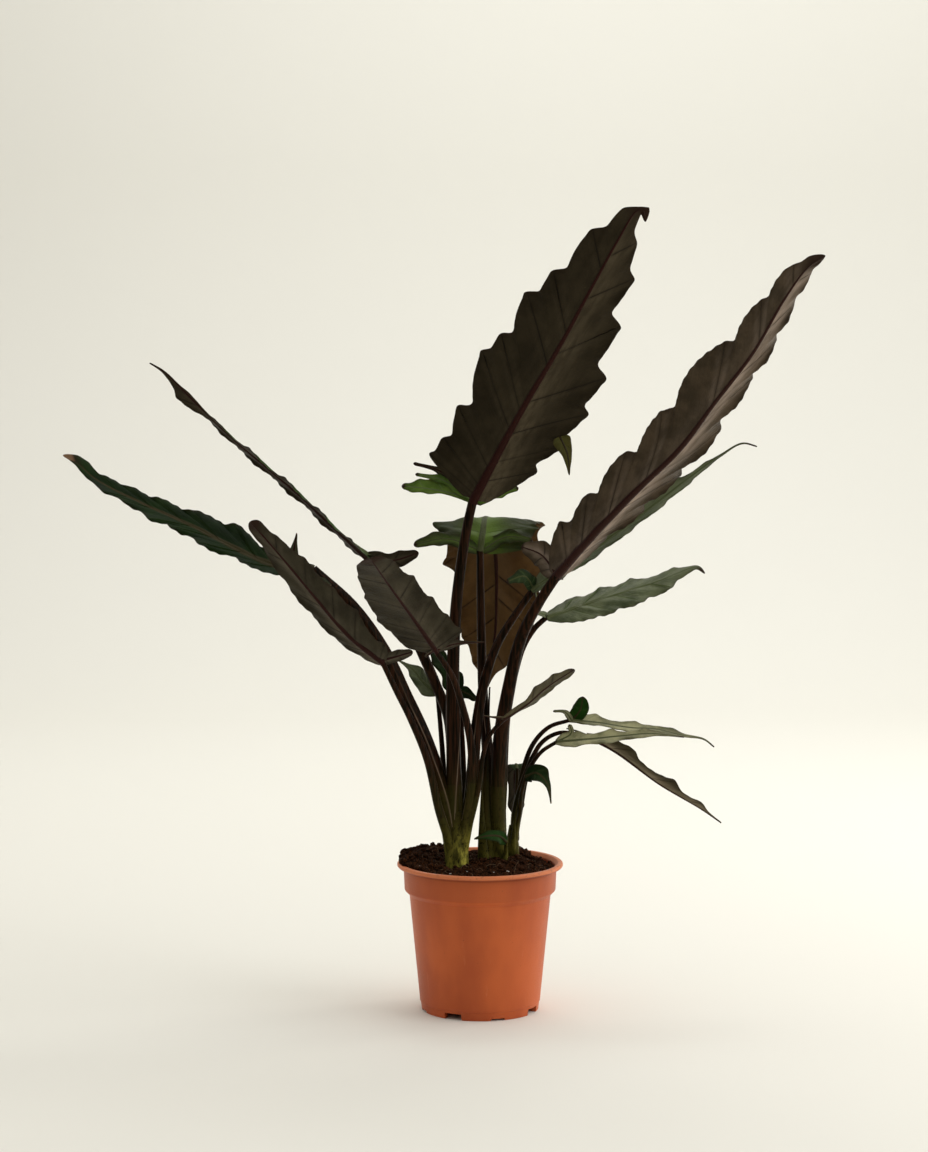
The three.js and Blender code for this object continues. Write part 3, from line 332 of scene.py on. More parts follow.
         teeth=[[(18, 29), (34, 31), (61, 37), (105, 32), (145, 24), (172, 17)],
                [(12, 34), (39, 30), (73, 28), (120, 25), (160, 17)]],
         lobes=[
             lobe(-1, [(-24, -30, 380), (4, -26, 381)], (0, 0.7, 0.6), 8, 1, pointed=True),
             lobe(1, [(-52, -34, 370), (-55, -30, 366)], (-0.2, 0.4, 0.8), 5, 1),
         ]),
    leaf("left_front_leaf", "front", sheath=200, radius=(5, 2.6), width=(17, 20), fold=(16, 8), basal=6,
         ruffle=2, notch=0.07, scallop=1.0, bulge=(0.03, 0.04), quilt=0.09, sheen=(0.6, 0.15), blunt=True,
         kind="soft",
         stalk=[(-42, -17, 208), (-54, -24, 261), (-71, -30, 304), (-85, -36, 333), (-98, -40, 361)],
         spine=[(-131, -55, 389), (-177, -80, 447), (-203, -92, 480), (-226, -98, 507)],
         face=[(0, 0.15, 0.85, 0.5), (1, 0.15, 0.9, 0.5)],
         teeth=[[(19, 13), (44, 17), (80, 19), (120, 20), (170, 12)],
                [(13, 17), (66, 24), (102, 20), (143, 17), (178, 10)]],
         lobes=[
             lobe(-1, [(-86, -36, 367), (-68, -34, 372)], (0.1, 0.9, 0.3), 8,
                  [[(8, 7), (20, 7)], [(8, 7), (22, 6)]], notch=0.05),
             lobe(1, [(-98, -38, 360), (-100, -34, 358)], (0, 0.5, 0.8), 4, 1),
         ]),
    leaf("left_long_leaf", "front", sheath=226, radius=(9, 6), width=(29, 27), fold=(10, 6), basal=8,
         ruffle=2.5, notch=0.32, scallop=1.1, bulge=(0.22, 0.03), quilt=0.055, kind="young",
         stalk=[(-35, 0, 210), (-53, 3, 267), (-75, 6, 318), (-98, 9, 367), (-130, 10, 413),
                (-170, 10, 450)],
         spine=[(-213, 11, 456), (-254, 16, 474), (-293, 21, 494), (-349, 28, 519), (-395, 31, 543),
                (-414, 30, 560), (-428, 28, 568)],
         face=[(0, 0.3, -0.55, 0.78), (1, 0.3, -0.6, 0.75)],
         teeth=[[(60, 17), (101, 29), (147, 17), (185, 14), (215, 12), (245, 8)],
                [(73, 21), (121, 27), (155, 21), (179, 24), (215, 12), (235, 14)]],
         lobes=[
             lobe(1, [(-190, 16, 473), (-188, 24, 488)], (0.5, 0.8, 0.3), 9,
                  [[(3, 10), (13, 7)], [(3, 10), (13, 5)]], start=(24, 6), notch=0.02, pointed=True),
             lobe(-1, [(-160, 2, 442), (-152, -4, 436)], (0.3, -0.4, 0.8), 6, 1),
         ]),
    leaf("inner_small_leaf", "front", sheath=196, radius=(4, 2.2), width=(13, 13), fold=(8, 4), basal=4,
         ruffle=2, kind="grey",
         stalk=[(-36, 18, 205), (-38, 26, 250), (-41, 30, 290), (-44, 32, 321)],
         spine=[(-58, 34, 332), (-70, 38, 346), (-86, 42, 356)],
         face=[(0, 0.3, -0.8, 0.5), (1, 0.3, -0.7, 0.6)], teeth=[2, 2]),
    leaf("inner_rear_leaf", "front", sheath=214, radius=(4, 2.2), width=(14, 14), fold=(6, 4), basal=4,
         ruffle=1.5, kind="young",
         stalk=[(-17, 14, 210), (-18, 22, 270), (-22, 25, 322)],
         spine=[(-34, 24, 346), (-48, 20, 366), (-60, 16, 384)],
         face=[(0, 0.3, -0.85, 0.4), (1, 0.3, -0.8, 0.5)], teeth=[2, 2],
         lobes=[
             lobe(1, [(-12, 22, 322), (-4, 20, 316)], (0.2, -0.9, 0.3), 8, 1),
         ]),
]


def mix(a, b, t):
    return a + (b - a) * t


def smooth(t):
    t = np.clip(t, 0, 1)
    return t * t * (3 - 2 * t)


def fold_at(blade, part):
    """The angle of the blade's V in degrees: between its two ends, or through the given places."""
    fold = blade["fold"]
    if isinstance(fold, tuple):
        return mix(fold[0], fold[1], np.clip(part, 0, 1))
    return np.interp(part, [p for p, _ in fold], [angle for _, angle in fold])


def unit(v):
    return v / np.maximum(np.linalg.norm(v, axis=-1, keepdims=True), 1e-9)


def varied(seed):
    """A value from 0 to 1 in a fixed order, the same as in the part."""
    x = math.sin(seed * 12.9898 + 4.1414) * 43758.5453
    return x - math.floor(x)


# Node trees of the materials

class Shader:
    """A material's node tree, with short calls for the nodes used here."""

    def __init__(self, name):
        self.material = bpy.data.materials.new(name)
        self.material.use_nodes = True
        self.tree = self.material.node_tree
        self.tree.nodes.clear()
        self.output = self.tree.nodes.new("ShaderNodeOutputMaterial")

    def node(self, kind, settings=None, **inputs):
        """A new node; its inputs go by their names, with _ for a space."""
        made = self.tree.nodes.new(kind)
        for key, value in (settings or {}).items():
            setattr(made, key, value)
        for key, value in inputs.items():
            self.set(made, key.replace("_", " "), value)
        return made

    def set(self, node, socket, value):
        target = node.inputs[socket]
        if isinstance(value, bpy.types.NodeSocket):
            self.tree.links.new(value, target)
        elif isinstance(value, tuple) and target.type == "RGBA":
            target.default_value = (*value, 1)
        else:
            target.default_value = value

    def attribute(self, name):
        return self.node("ShaderNodeAttribute", {"attribute_name": name}).outputs["Fac"]

    def place(self, scale=(1, 1, 1)):
        """Object coordinates in metres, stretched by scale."""
        source = self.node("ShaderNodeTexCoord").outputs["Object"]
        return self.node("ShaderNodeMapping", Vector=source, Scale=scale).outputs[0]

    def leaf_place(self, scale):
        """Coordinates on the blade: along it with the side veins, and out from the midrib."""
        source = self.node("ShaderNodeUVMap", {"uv_map": "leaf"}).outputs[0]
        return self.node("ShaderNodeMapping", Vector=source, Scale=scale).outputs[0]

    def axes(self):
        """Object coordinates in metres, one by one under X, Y and Z."""
        return self.node("ShaderNodeSeparateXYZ", Vector=self.place()).outputs

    def noise(self, vector, scale, detail=3, roughness=0.5):
        return self.node("ShaderNodeTexNoise", Vector=vector, Scale=scale, Detail=detail,
                         Roughness=roughness).outputs["Fac"]

    def cells(self, vector):
        """The distance to the nearest edge between cells."""
        settings = {"feature": "DISTANCE_TO_EDGE"}
        return self.node("ShaderNodeTexVoronoi", settings, Vector=vector, Scale=1).outputs["Distance"]

    def math(self, operation, a, b):
        made = self.node("ShaderNodeMath", {"operation": operation})
        self.set(made, 0, a)
        self.set(made, 1, b)
        return made.outputs[0]

    def times(self, a, b):
        return self.math("MULTIPLY", a, b)

    def total(self, *parts):
        """The sum of values, each given with its weight."""
        weighed = [value if weight == 1 else self.times(value, weight) for value, weight in parts]
        result = weighed[0]
        for value in weighed[1:]:
            result = self.math("ADD", result, value)
        return result

    def span(self, value, from_low, from_high, to_low=0.0, to_high=1.0):
        """The value's place between two limits, eased, as a place between two others."""
        made = self.node("ShaderNodeMapRange", {"interpolation_type": "SMOOTHSTEP"})
        for key, number in enumerate((value, from_low, from_high, to_low, to_high)):
            self.set(made, key, number)
        return made.outputs[0]

    def blend(self, share, a, b):
        """From colour a to colour b by the share. The sockets are numbered as Blender has them."""
        made = self.node("ShaderNodeMix", {"data_type": "RGBA"})
        self.set(made, 0, share)
        self.set(made, 6, a)
        self.set(made, 7, b)
        return made.outputs[2]

    def bump(self, height, distance, strength):
        return self.node("ShaderNodeBump", Height=height, Strength=strength, Distance=distance).outputs[0]

    def principled(self, colour, roughness, specular, **more):
        made = self.node("ShaderNodeBsdfPrincipled", Base_Color=colour, Roughness=roughness, **more)
        self.set(made, "Specular IOR Level", specular)
        return made.outputs[0]

    def finish(self, shader):
        self.tree.links.new(shader, self.output.inputs["Surface"])
        return self.material


# Colours are linear. A leaf's tones: the lower side's two colours and its painted highlight beside veins,
# the upper side's two colours, how much light comes through, gloss, specular and how the veins show above.
TONE_NAMES = ("under", "under_light", "sheen", "upper", "upper_light",
              "through", "gloss", "specular", "veins")
LEAF_TONES = {
    "dark": ((0.008, 0.005, 0.0016), (0.02, 0.0145, 0.007), (0.098, 0.076, 0.046), (0.014, 0.036, 0.008),
             (0.045, 0.088, 0.022), 0.05, (0.44, 0.56), 0.13, 0.4),
    "lit": ((0.062, 0.027, 0.01), (0.12, 0.06, 0.021), (0.09, 0.052, 0.024), (0.008, 0.016, 0.004),
            (0.036, 0.046, 0.018), 0.26, (0.34, 0.48), 0.13, 0.4),
    "taupe": ((0.024, 0.0155, 0.008), (0.062, 0.042, 0.025), (0.4, 0.31, 0.245), (0.012, 0.02, 0.009),
              (0.03, 0.05, 0.02), 0.05, (0.36, 0.5), 0.2, 0.4),
    "soft": ((0.014, 0.0115, 0.0062), (0.035, 0.03, 0.018), (0.17, 0.142, 0.1), (0.012, 0.028, 0.009),
             (0.032, 0.058, 0.02), 0.05, (0.42, 0.55), 0.14, 0.4),
    "young": ((0.026, 0.026, 0.011), (0.052, 0.052, 0.026), (0.07, 0.068, 0.036), (0.0025, 0.009, 0.002),
              (0.009, 0.023, 0.005), 0.06, (0.46, 0.6), 0.05, 0.14),
    "grey": ((0.04, 0.036, 0.022), (0.08, 0.072, 0.048), (0.11, 0.1, 0.07), (0.046, 0.062, 0.028),
             (0.14, 0.162, 0.082), 0.06, (0.36, 0.48), 0.24, 0.45),
    "olive": ((0.024, 0.02, 0.006), (0.058, 0.05, 0.02), (0.37, 0.315, 0.21), (0.04, 0.044, 0.015),
              (0.37, 0.355, 0.185), 0.08, (0.38, 0.5), 0.22, 0.35),
    "bright": ((0.026, 0.04, 0.01), (0.055, 0.08, 0.024), (0.07, 0.095, 0.035), (0.004, 0.024, 0.002),
               (0.011, 0.048, 0.004), 0.06, (0.42, 0.54), 0.05, 0.12),
    "fresh": ((0.03, 0.05, 0.012), (0.06, 0.09, 0.028), (0.08, 0.11, 0.04), (0.03, 0.085, 0.006),
              (0.12, 0.21, 0.028), 0.26, (0.34, 0.46), 0.2, 0.8),
    "glow": ((0.06, 0.056, 0.012), (0.11, 0.1, 0.026), (0.12, 0.11, 0.03), (0.046, 0.044, 0.008),
             (0.092, 0.086, 0.018), 0.3, (0.4, 0.52), 0.18, 0.1),
}
VEIN_COLOUR = (0.0035, 0.0018, 0.0012)
RIB_COLOUR = (0.020, 0.0022, 0.0020)
UPPER_VEIN = (0.150, 0.210, 0.075)
MARGIN_COLOUR = (0.020, 0.008, 0.005)
THROUGH_COLOUR = (0.26, 0.20, 0.06)
THROUGH_VEIN = (0.05, 0.02, 0.008)
# The colour of the painted highlight on the upper side, by kind; other kinds take their upper_light
UPPER_HIGHLIGHT_COLOURS = {"lit": (0.15, 0.25, 0.034)}
TIP_COLOURS = {"young": (0.15, 0.085, 0.045)}
TIP_EDGE = (1.02, 1.4)
WARM_SHINE = (1.0, 0.90, 0.68)

# The patterns on a leaf by their scale, over the whole object or over the blade
MOTTLE_SCALE = 38
GRAIN_SCALE = 1500
STREAK_SCALE = (520, 46, 1)
# Streaks in the painted highlight
HIGHLIGHT_STREAK_SCALE = (34, 150, 1)
NET_SCALE = (300, 210, 1)
WAVE_PLACE = (1000, 1000, 1)
WAVE_SCALE = 0.05
MINOR_VEIN_SHARE = 0.14
LEAF_RELIEF = 0.0006


def leaf_material(kind):
    tone = dict(zip(TONE_NAMES, LEAF_TONES[kind]))
    veins = tone["veins"]
    s = Shader(f"leaf_{kind}")
    upper, vein, rib, edge, sheen = (s.attribute(name) for name in BLADE_VALUES)
    mottle = s.noise(s.place(), MOTTLE_SCALE, 4, 0.6)
    streak = s.noise(s.leaf_place(STREAK_SCALE), 1, 3, 0.55)
    highlight_streak = s.noise(s.leaf_place(HIGHLIGHT_STREAK_SCALE), 1, 3, 0.6)
    net = s.span(s.cells(s.leaf_place(NET_SCALE)), 0.0, 0.12)
    grain = s.noise(s.place(), GRAIN_SCALE, 2)
    waves = s.node(
        "ShaderNodeTexWave", Vector=s.leaf_place(WAVE_PLACE), Scale=WAVE_SCALE, Distortion=2.5, Detail=1,
        Detail_Scale=0.6).outputs["Fac"]
    cloudy = s.span(s.total((mottle, 0.86), (streak, 0.14)), 0.36, 0.66)

    under = s.blend(cloudy, tone["under"], tone["under_light"])
    # A painted highlight beside the midrib and the side veins, broken into streaks, on the lower side
    under = s.blend(s.times(sheen, s.span(highlight_streak, 0.34, 0.62, 0.45, 1.0)), under, tone["sheen"])
    under = s.blend(s.times(vein, 0.9), under, VEIN_COLOUR)

    top = s.blend(cloudy, tone["upper"], tone["upper_light"])
    # The same painted highlight on the upper side
    top = s.blend(s.times(sheen, 0.8), top, UPPER_HIGHLIGHT_COLOURS.get(kind, tone["upper_light"]))
    top = s.blend(s.times(s.span(waves, 0.9, 1.0), MINOR_VEIN_SHARE * veins), top, UPPER_VEIN)
    top = s.blend(s.times(vein, veins), top, UPPER_VEIN)

    rib_colour = s.blend(s.times(upper, veins), RIB_COLOUR, UPPER_VEIN)
    colour = s.blend(rib, s.blend(upper, under, top), rib_colour)
    colour = s.blend(s.times(edge, 0.6), colour, MARGIN_COLOUR)
    colour = s.blend(s.span(edge, *TIP_EDGE), colour, TIP_COLOURS.get(kind, MARGIN_COLOUR))

    height = s.total((streak, 0.13), (net, 0.25), (waves, 0.08), (grain, 0.12))
    normal = s.bump(height, LEAF_RELIEF, 0.7)
    gloss = s.span(mottle, 0.3, 0.7, *tone["gloss"])
    body = s.principled(colour, gloss, tone["specular"], Normal=normal, Specular_Tint=WARM_SHINE)
    through_colour = s.blend(s.math("MAXIMUM", vein, rib), THROUGH_COLOUR, THROUGH_VEIN)
    through = s.node("ShaderNodeBsdfTranslucent", Color=through_colour, Normal=normal).outputs[0]
    both = s.node("ShaderNodeMixShader", Fac=tone["through"])
    s.set(both, 1, body)
    s.set(both, 2, through)
    return s.finish(both.outputs[0])


# Stalks: olive and speckled at the soil, dark maroon above, with a painted highlight along the raised
# sheath edges. The foot, the specks and the green each end between two heights in metres.
STALK_OLIVE = (0.480, 0.430, 0.070)
STALK_GREEN = (0.045, 0.042, 0.007)
STALK_DARK = (0.0026, 0.0016, 0.0006)
STALK_MAROON = (0.0300, 0.0105, 0.0048)
RIDGE_HIGHLIGHT = (0.300, 0.215, 0.150)
FOOT_ENDS = (0.150, 0.202)
SPECKS_END = (0.175, 0.250)
GREEN_ENDS = (0.205, 0.270)
FOOT_SHADE = 0.8
LEFT_SHADE = 0.72


def stalk_material(name, green, shade_span=None):
    """A stalk or shoot. Green is its share of green above the foot; the foot is shaded, or else it
    is shaded at the left alone, over the given span of x in metres."""
    s = Shader(name)
    axes = s.axes()
    streak = s.noise(s.place((1, 1, 0.05)), 420, 3, 0.6)
    mottle = s.noise(s.place((1, 1, 0.45)), 120, 4, 0.65)
    speck = s.span(s.noise(s.place((1, 1, 0.55)), 520, 3, 0.7), 0.54, 0.66)
    dark = s.blend(s.span(streak, 0.38, 0.66), STALK_DARK, STALK_MAROON)
    foot = s.blend(s.span(mottle, 0.35, 0.65), STALK_GREEN, STALK_OLIVE)
    shade = s.span(axes["X"], *shade_span, LEFT_SHADE, 0.0) if shade_span else FOOT_SHADE
    foot = s.blend(shade, foot, STALK_GREEN)
    wander = s.times(s.math("SUBTRACT", mottle, 0.5), 0.05)
    level = s.math("ADD", axes["Z"], wander)
    colour = s.blend(s.span(level, *GREEN_ENDS), s.blend(green, dark, STALK_GREEN), dark)
    colour = s.blend(s.span(level, *FOOT_ENDS), foot, colour)
    colour = s.blend(s.times(speck, s.span(level, *SPECKS_END, 0.85, 0.0)), colour, STALK_DARK)
    # A painted highlight along the raised sheath edges
    line = s.math("POWER", s.attribute("line"), 2.2)
    colour = s.blend(s.times(line, 0.85), colour, RIDGE_HIGHLIGHT)
    normal = s.bump(s.total((streak, 1), (mottle, 0.6)), 0.0006, 0.6)
    gloss = s.span(streak, 0.3, 0.7, 0.30, 0.46)
    return s.finish(s.principled(colour, gloss, 0.06, Normal=normal, Specular_Tint=WARM_SHINE))


# Pot: moulded terracotta-coloured plastic, faintly clouded, with fine scuffs and soil dust
POT_COLOUR = (0.540, 0.112, 0.030)
POT_PALE = (0.640, 0.205, 0.085)
POT_DEEP = (0.415, 0.078, 0.023)
POT_SHADE = (0.200, 0.036, 0.012)
DUST_COLOUR = (0.060, 0.034, 0.022)

# Heights in metres between which each begins or ends, with the shares there where they aren't 0 and 1
COLLAR_SHADE = (0.1235, 0.1250, 0.0, 0.24)
LIP_SHADOW_START = (0.1440, 0.1462)
LIP_SHADOW_END = (0.1478, 0.1486, 0.6, 0.0)
LIP_TOP_HIGHLIGHT = (0.1478, 0.1495, 0.0, 0.75)
LIP_DUST = (0.1465, 0.1515)


def pot_material():
    s = Shader("pot_plastic")
    height = s.axes()["Z"]
    cloud = s.noise(s.place((1, 1, 0.5)), 22, 3, 0.5)
    grain = s.noise(s.place(), 900, 2, 0.5)
    scuff = s.span(s.noise(s.place((1, 1, 0.12)), 160, 4, 0.7), 0.62, 0.74)
    speck = s.span(s.noise(s.place(), 620, 2, 0.5), 0.735, 0.76)
    dust = s.span(s.noise(s.place(), 190, 4, 0.7), 0.55, 0.68)
    colour = s.blend(s.span(cloud, 0.32, 0.68), POT_DEEP, POT_COLOUR)
    colour = s.blend(s.times(scuff, 0.25), colour, POT_PALE)
    colour = s.blend(s.times(speck, 0.7), colour, DUST_COLOUR)
    colour = s.blend(s.span(height, *COLLAR_SHADE), colour, POT_SHADE)
    # A painted shadow line under the lip
    lip_shadow = s.times(s.span(height, *LIP_SHADOW_START), s.span(height, *LIP_SHADOW_END))
    colour = s.blend(lip_shadow, colour, POT_SHADE)
    # The lip's top painted paler: a painted highlight
    colour = s.blend(s.span(height, *LIP_TOP_HIGHLIGHT), colour, POT_PALE)
    colour = s.blend(s.times(s.times(s.span(height, *LIP_DUST), dust), 0.5), colour, DUST_COLOUR)
    normal = s.bump(s.total((grain, 0.3), (cloud, 1)), 0.0006, 0.5)
    return s.finish(s.principled(
        colour, s.span(grain, 0.3, 0.7, 0.40, 0.54), 0.30, Normal=normal, Specular_Tint=WARM_SHINE,
        Subsurface_Weight=0.08, Subsurface_Radius=(0.004, 0.0015, 0.0008), Subsurface_Scale=0.6))


SOIL_DARK = (0.0035, 0.0015, 0.0006)
SOIL_BROWN = (0.026, 0.0095, 0.0035)
SOIL_RUST = (0.110, 0.036, 0.010)
FIBRE_COLOUR = (0.30, 0.20, 0.12)
FLECK_GREY = (0.50, 0.45, 0.38)
FLECK_WHITE = (0.80, 0.77, 0.70)


def soil_material(name, pale=0.0):
    """Peat, or its fibres where pale gives a share of their colour."""
    s = Shader(name)
    clump = s.noise(s.place(), 120, 5, 0.7)
    grit = s.noise(s.place(), 900, 3, 0.7)
    colour = s.blend(s.span(clump, 0.35, 0.68), SOIL_DARK, SOIL_BROWN)
    colour = s.blend(s.span(grit, 0.46, 0.72), colour, SOIL_RUST)
    if pale:
        colour = s.blend(pale, colour, FIBRE_COLOUR)
    normal = s.bump(s.math("ADD", clump, grit), 0.0015, 0.9)
    return s.finish(s.principled(colour, s.span(grit, 0.3, 0.7, 0.8, 0.98), 0.06, Normal=normal))


def fleck_material():
    s = Shader("soil_flecks")
    grain = s.noise(s.place(), 1200, 3, 0.6)
    colour = s.blend(s.span(grain, 0.3, 0.7), FLECK_GREY, FLECK_WHITE)
    return s.finish(s.principled(colour, 0.85, 0.5, Normal=s.bump(grain, 0.0005, 0.6)))


# Meshes

def mesh_object(name, corners, faces, material, attributes=None, leaf_uv=None, sharp=50):
    """A smooth-shaded object from corners in mm, with named values at its corners."""
    mesh = bpy.data.meshes.new(name)
    mesh.from_pydata((np.asarray(corners) * MM).tolist(), [], [list(map(int, f)) for f in faces])
    for key, values in (attributes or {}).items():
        layer = mesh.attributes.new(key, "FLOAT", "POINT")
        layer.data.foreach_set("value", np.asarray(values, np.float32))
    if leaf_uv is not None:
        layer = mesh.uv_layers.new(name="leaf")
        loops = np.zeros(len(mesh.loops), np.int32)
        mesh.loops.foreach_get("vertex_index", loops)
        layer.data.foreach_set("uv", (np.asarray(leaf_uv) * MM)[loops].astype(np.float32).ravel())
    mesh.polygons.foreach_set("use_smooth", [True] * len(mesh.polygons))
    mesh.set_sharp_from_angle(angle=math.radians(sharp))
    mesh.materials.append(material)
    made = bpy.data.objects.new(name, mesh)
    bpy.context.scene.collection.objects.link(made)
    return made


def place_piece(piece, slot, *nodes):
    """The piece rides on the plant's one body and stands for the named CAD nodes; its slot is not used."""
    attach(piece, "root")
    if nodes:
        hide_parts(*nodes)


def keep_in_box(corners):
    """Corners in mm, held inside the CAD model's box: the last SOFT_REACH mm are pressed together."""
    for limit, way in ((np.array(cad_high) / MM, 1), (np.array(cad_low) / MM, -1)):
        edge = limit - way * SOFT_REACH
        over = (corners - edge) * way
        pressed = limit - way * SOFT_REACH * np.exp(-np.maximum(over, 0) / SOFT_REACH)
        corners = np.where(over > 0, pressed, corners)
    return corners


# Curves

class Curve:
    """A centripetal Catmull-Rom curve through places, by the part of its length."""

    SAMPLES = 1600

    def __init__(self, points):
        p = np.array(points, float)
        ends = [2 * p[0] - p[1], *p, 2 * p[-1] - p[-2]]
        pieces = []
        per = max(2, self.SAMPLES // (len(p) - 1))
        for k in range(len(p) - 1):
            p0, p1, p2, p3 = ends[k:k + 4]
            d0, d1, d2 = (np.linalg.norm(b - a) ** 0.5 for a, b in ((p0, p1), (p1, p2), (p2, p3)))
            t1 = ((p1 - p0) / d0 - (p2 - p0) / (d0 + d1) + (p2 - p1) / d1) * d1
            t2 = ((p2 - p1) / d1 - (p3 - p1) / (d1 + d2) + (p3 - p2) / d2) * d1
            t = np.linspace(0, 1, per, endpoint=False)[:, None]
            cubic = 2 * p1 - 2 * p2 + t1 + t2
            square = -3 * p1 + 3 * p2 - 2 * t1 - t2
            pieces.append(p1 + t1 * t + square * t * t + cubic * t ** 3)
        self.points = np.vstack([*pieces, p[-1:]])
        steps = np.linalg.norm(np.diff(self.points, axis=0), axis=1)
        self.distance = np.concatenate([[0], np.cumsum(steps)])
        self.length = self.distance[-1]

    def at(self, part):
        """Places at parts of the length; a part below 0 or above 1 goes straight on."""
        part = np.asarray(part, float)
        inside = np.clip(part, 0, 1) * self.length
        place = np.stack([np.interp(inside, self.distance, self.points[:, i]) for i in range(3)], -1)
        over = (part - np.clip(part, 0, 1)) * self.length
        return place + over[..., None] * self.along(part)

    def along(self, part):
        inside = np.clip(np.asarray(part, float), 0.0005, 0.9995) * self.length
        reach = self.length * 0.0005
        ends = []
        for shift in (-reach, reach):
            s = inside + shift
            ends.append(np.stack([np.interp(s, self.distance, self.points[:, i]) for i in range(3)], -1))
        return unit(ends[1] - ends[0])


class Spine(Curve):
    """A blade's midrib, with the way that the upper side looks along it."""

    def __init__(self, points, face):
        super().__init__(points)
        self.face = face

    def frame(self, part):
        part = np.asarray(part, float)
        held = np.clip(part, 0, 1)
        up = np.zeros((*held.shape, 3))
        for k in range(1, len(self.face)):
            start, end = self.face[k - 1], self.face[k]
            last = k == len(self.face) - 1
            inside = (held >= start[0]) & ((held <= end[0]) if last else (held < end[0]))
            ease = smooth((held - start[0]) / (end[0] - start[0]))[..., None]
            looks = unit(mix(np.array(start[1:]), np.array(end[1:]), ease))
            up = np.where(inside[..., None], looks, up)
        along = self.along(held)
        up = unit(up - np.sum(up * along, -1, keepdims=True) * along)
        return self.at(part), along, up, np.cross(along, up)


# Blades

def plain_outline(part, broad):
    if part < broad:
        return 0.7 + 0.3 * math.sin(math.pi / 2 * part / broad)
    return math.cos(math.pi / 2 * (part - broad) / (1 - broad)) ** 0.9


def tooth_ends(blade, side, length):
    """The ends of the teeth on one side, each as far along and far out, with the blade's own ends."""
    given = blade["teeth"][side]
    last = blade["width"][side] * BLUNT_SHARE if blade.get("blunt") else NARROWEST_HALF_WIDTH
    ends = given
    if isinstance(given, int):
        ends = []
        for k in range(given):
            part = (k + 0.7) / (given + 0.8)
            uneven = 0.93 + 0.14 * varied(k + 10 * side + length)
            broad = blade.get("broad", 0.28)
            ends.append((part * length, blade["width"][side] * plain_outline(part, broad) * uneven))
    return [(0, blade["basal"]), *ends, (length, last)]


class Margin:
    """One side's margin: how far out it runs and how it waves, by the distance along the blade."""

    STEP = 0.4

    def __init__(self, blade, side, length):
        ends = tooth_ends(blade, side, length)
        self.teeth = [a for a, _ in ends]
        self.grid = np.arange(0, length + self.STEP, self.STEP)
        at = np.clip(self.grid, 0, length)
        k = np.clip(np.searchsorted(self.teeth, at, side="right"), 1, len(ends) - 1)
        a = np.array(ends, float)
        t = np.clip((at - a[k - 1, 0]) / (a[k, 0] - a[k - 1, 0]), 0, 1)
        first = k == 1
        rise = mix(np.sin(math.pi / 2 * t) ** 0.8, t, blade.get("wedge", WEDGE))
        regain = (np.clip(t - NOTCH_AT, 0, 1) / (1 - NOTCH_AT)) ** blade.get("scallop", SCALLOP)
        bite = np.where(t < NOTCH_AT, np.sin(math.pi / 2 * np.minimum(t / NOTCH_AT, 1)), 1 - regain)
        uneven = np.array([0.75 + 0.5 * varied(n + 7 * side + length) for n in range(len(ends))])
        share = blade.get("notch", NOTCH_DEPTH) * uneven[k]
        depth = np.minimum(share * (a[k, 0] - a[k - 1, 0]), DEEPEST_NOTCH * a[k - 1, 1])
        out = mix(a[k - 1, 1], a[k, 1], np.where(first, rise, t)) - np.where(first, 0, depth * bite)
        bulge = blade.get("bulge", BULGE)[side] * np.sin(math.pi * t) * (a[k, 0] - a[k - 1, 0])
        out = out + np.where(first, 0, bulge)
        for along, reach in ends[1:-1]:
            out = out + min(KNOB, 0.05 * reach) * np.exp(-((at - along) / KNOB_WIDTH) ** 2)
        wave = np.where(first, t ** 3, np.cos(2 * math.pi * t))
        out = np.maximum(self.softened(out, TIP_ROUNDING), NARROWEST_HALF_WIDTH * 0.7)
        closing = max(2.0, ends[-1][1] * 1.1)
        left = np.clip((length - at) / closing, 0, 1)
        self.out = np.maximum(out * np.sqrt(1 - (1 - left) ** 2), 0.3)
        self.wave = self.softened(wave, 3.0) * np.clip(self.out / 20, 0, 1)
        self.between = t
        self.number = k

    def softened(self, values, width):
        """Values rounded over a width in mm, held at both ends."""
        reach = min(int(4 * width / self.STEP), len(values) - 2)
        x = np.arange(-reach, reach + 1) * self.STEP
        weights = np.exp(-0.5 * (x / width) ** 2)
        padded = np.concatenate([
            2 * values[0] - values[reach:0:-1], values, 2 * values[-1] - values[-2:-reach - 2:-1]])
        return np.convolve(padded, weights / weights.sum(), "valid")

    def at(self, along):
        return [np.interp(along, self.grid, v) for v in (self.out, self.wave)]

    def vein_distance(self, along):
        """Distance along the blade to the nearest side vein, and how far between two veins it is."""
        inner = np.array(self.teeth[1:-1] or [-99.0])
        nearest = np.min(np.abs(along[:, None] - inner[None, :]), axis=1)
        return nearest, np.interp(along, self.grid, self.between), np.interp(along, self.grid, self.number)


def row_places(margins, length):
    """Where the blade's rows lie: evenly, and closely beside every side vein and notch."""
    rows = list(np.linspace(0, length, max(8, round(length / ROW_STEP))))
    for margin in margins:
        for tooth in margin.teeth[1:-1]:
            rows += [tooth + offset for offset in VEIN_OFFSETS]
    rows += [length - offset for offset in CLOSING_ROWS]
    rows = sorted(r for r in rows if 0 <= r <= length)
    kept = [rows[0]]
    for row in rows[1:-1]:
        if row - kept[-1] > 0.35 and length - row > 0.35:
            kept.append(row)
    return np.array([*kept, length])


def column_reaches(out, rib, middles):
    """How far out the columns of one side lie: some round the midrib, the middle ones, and the edge."""
    core = np.minimum(rib * 1.35, out * 0.6)
    rim = np.maximum(out - 0.5, core + (out - core) * 0.8)
    near_rib = [core * share for share in RIB_COLUMNS]
    return [*near_rib, *(mix(core, rim, (c + 1) / middles) for c in range(middles)), out]


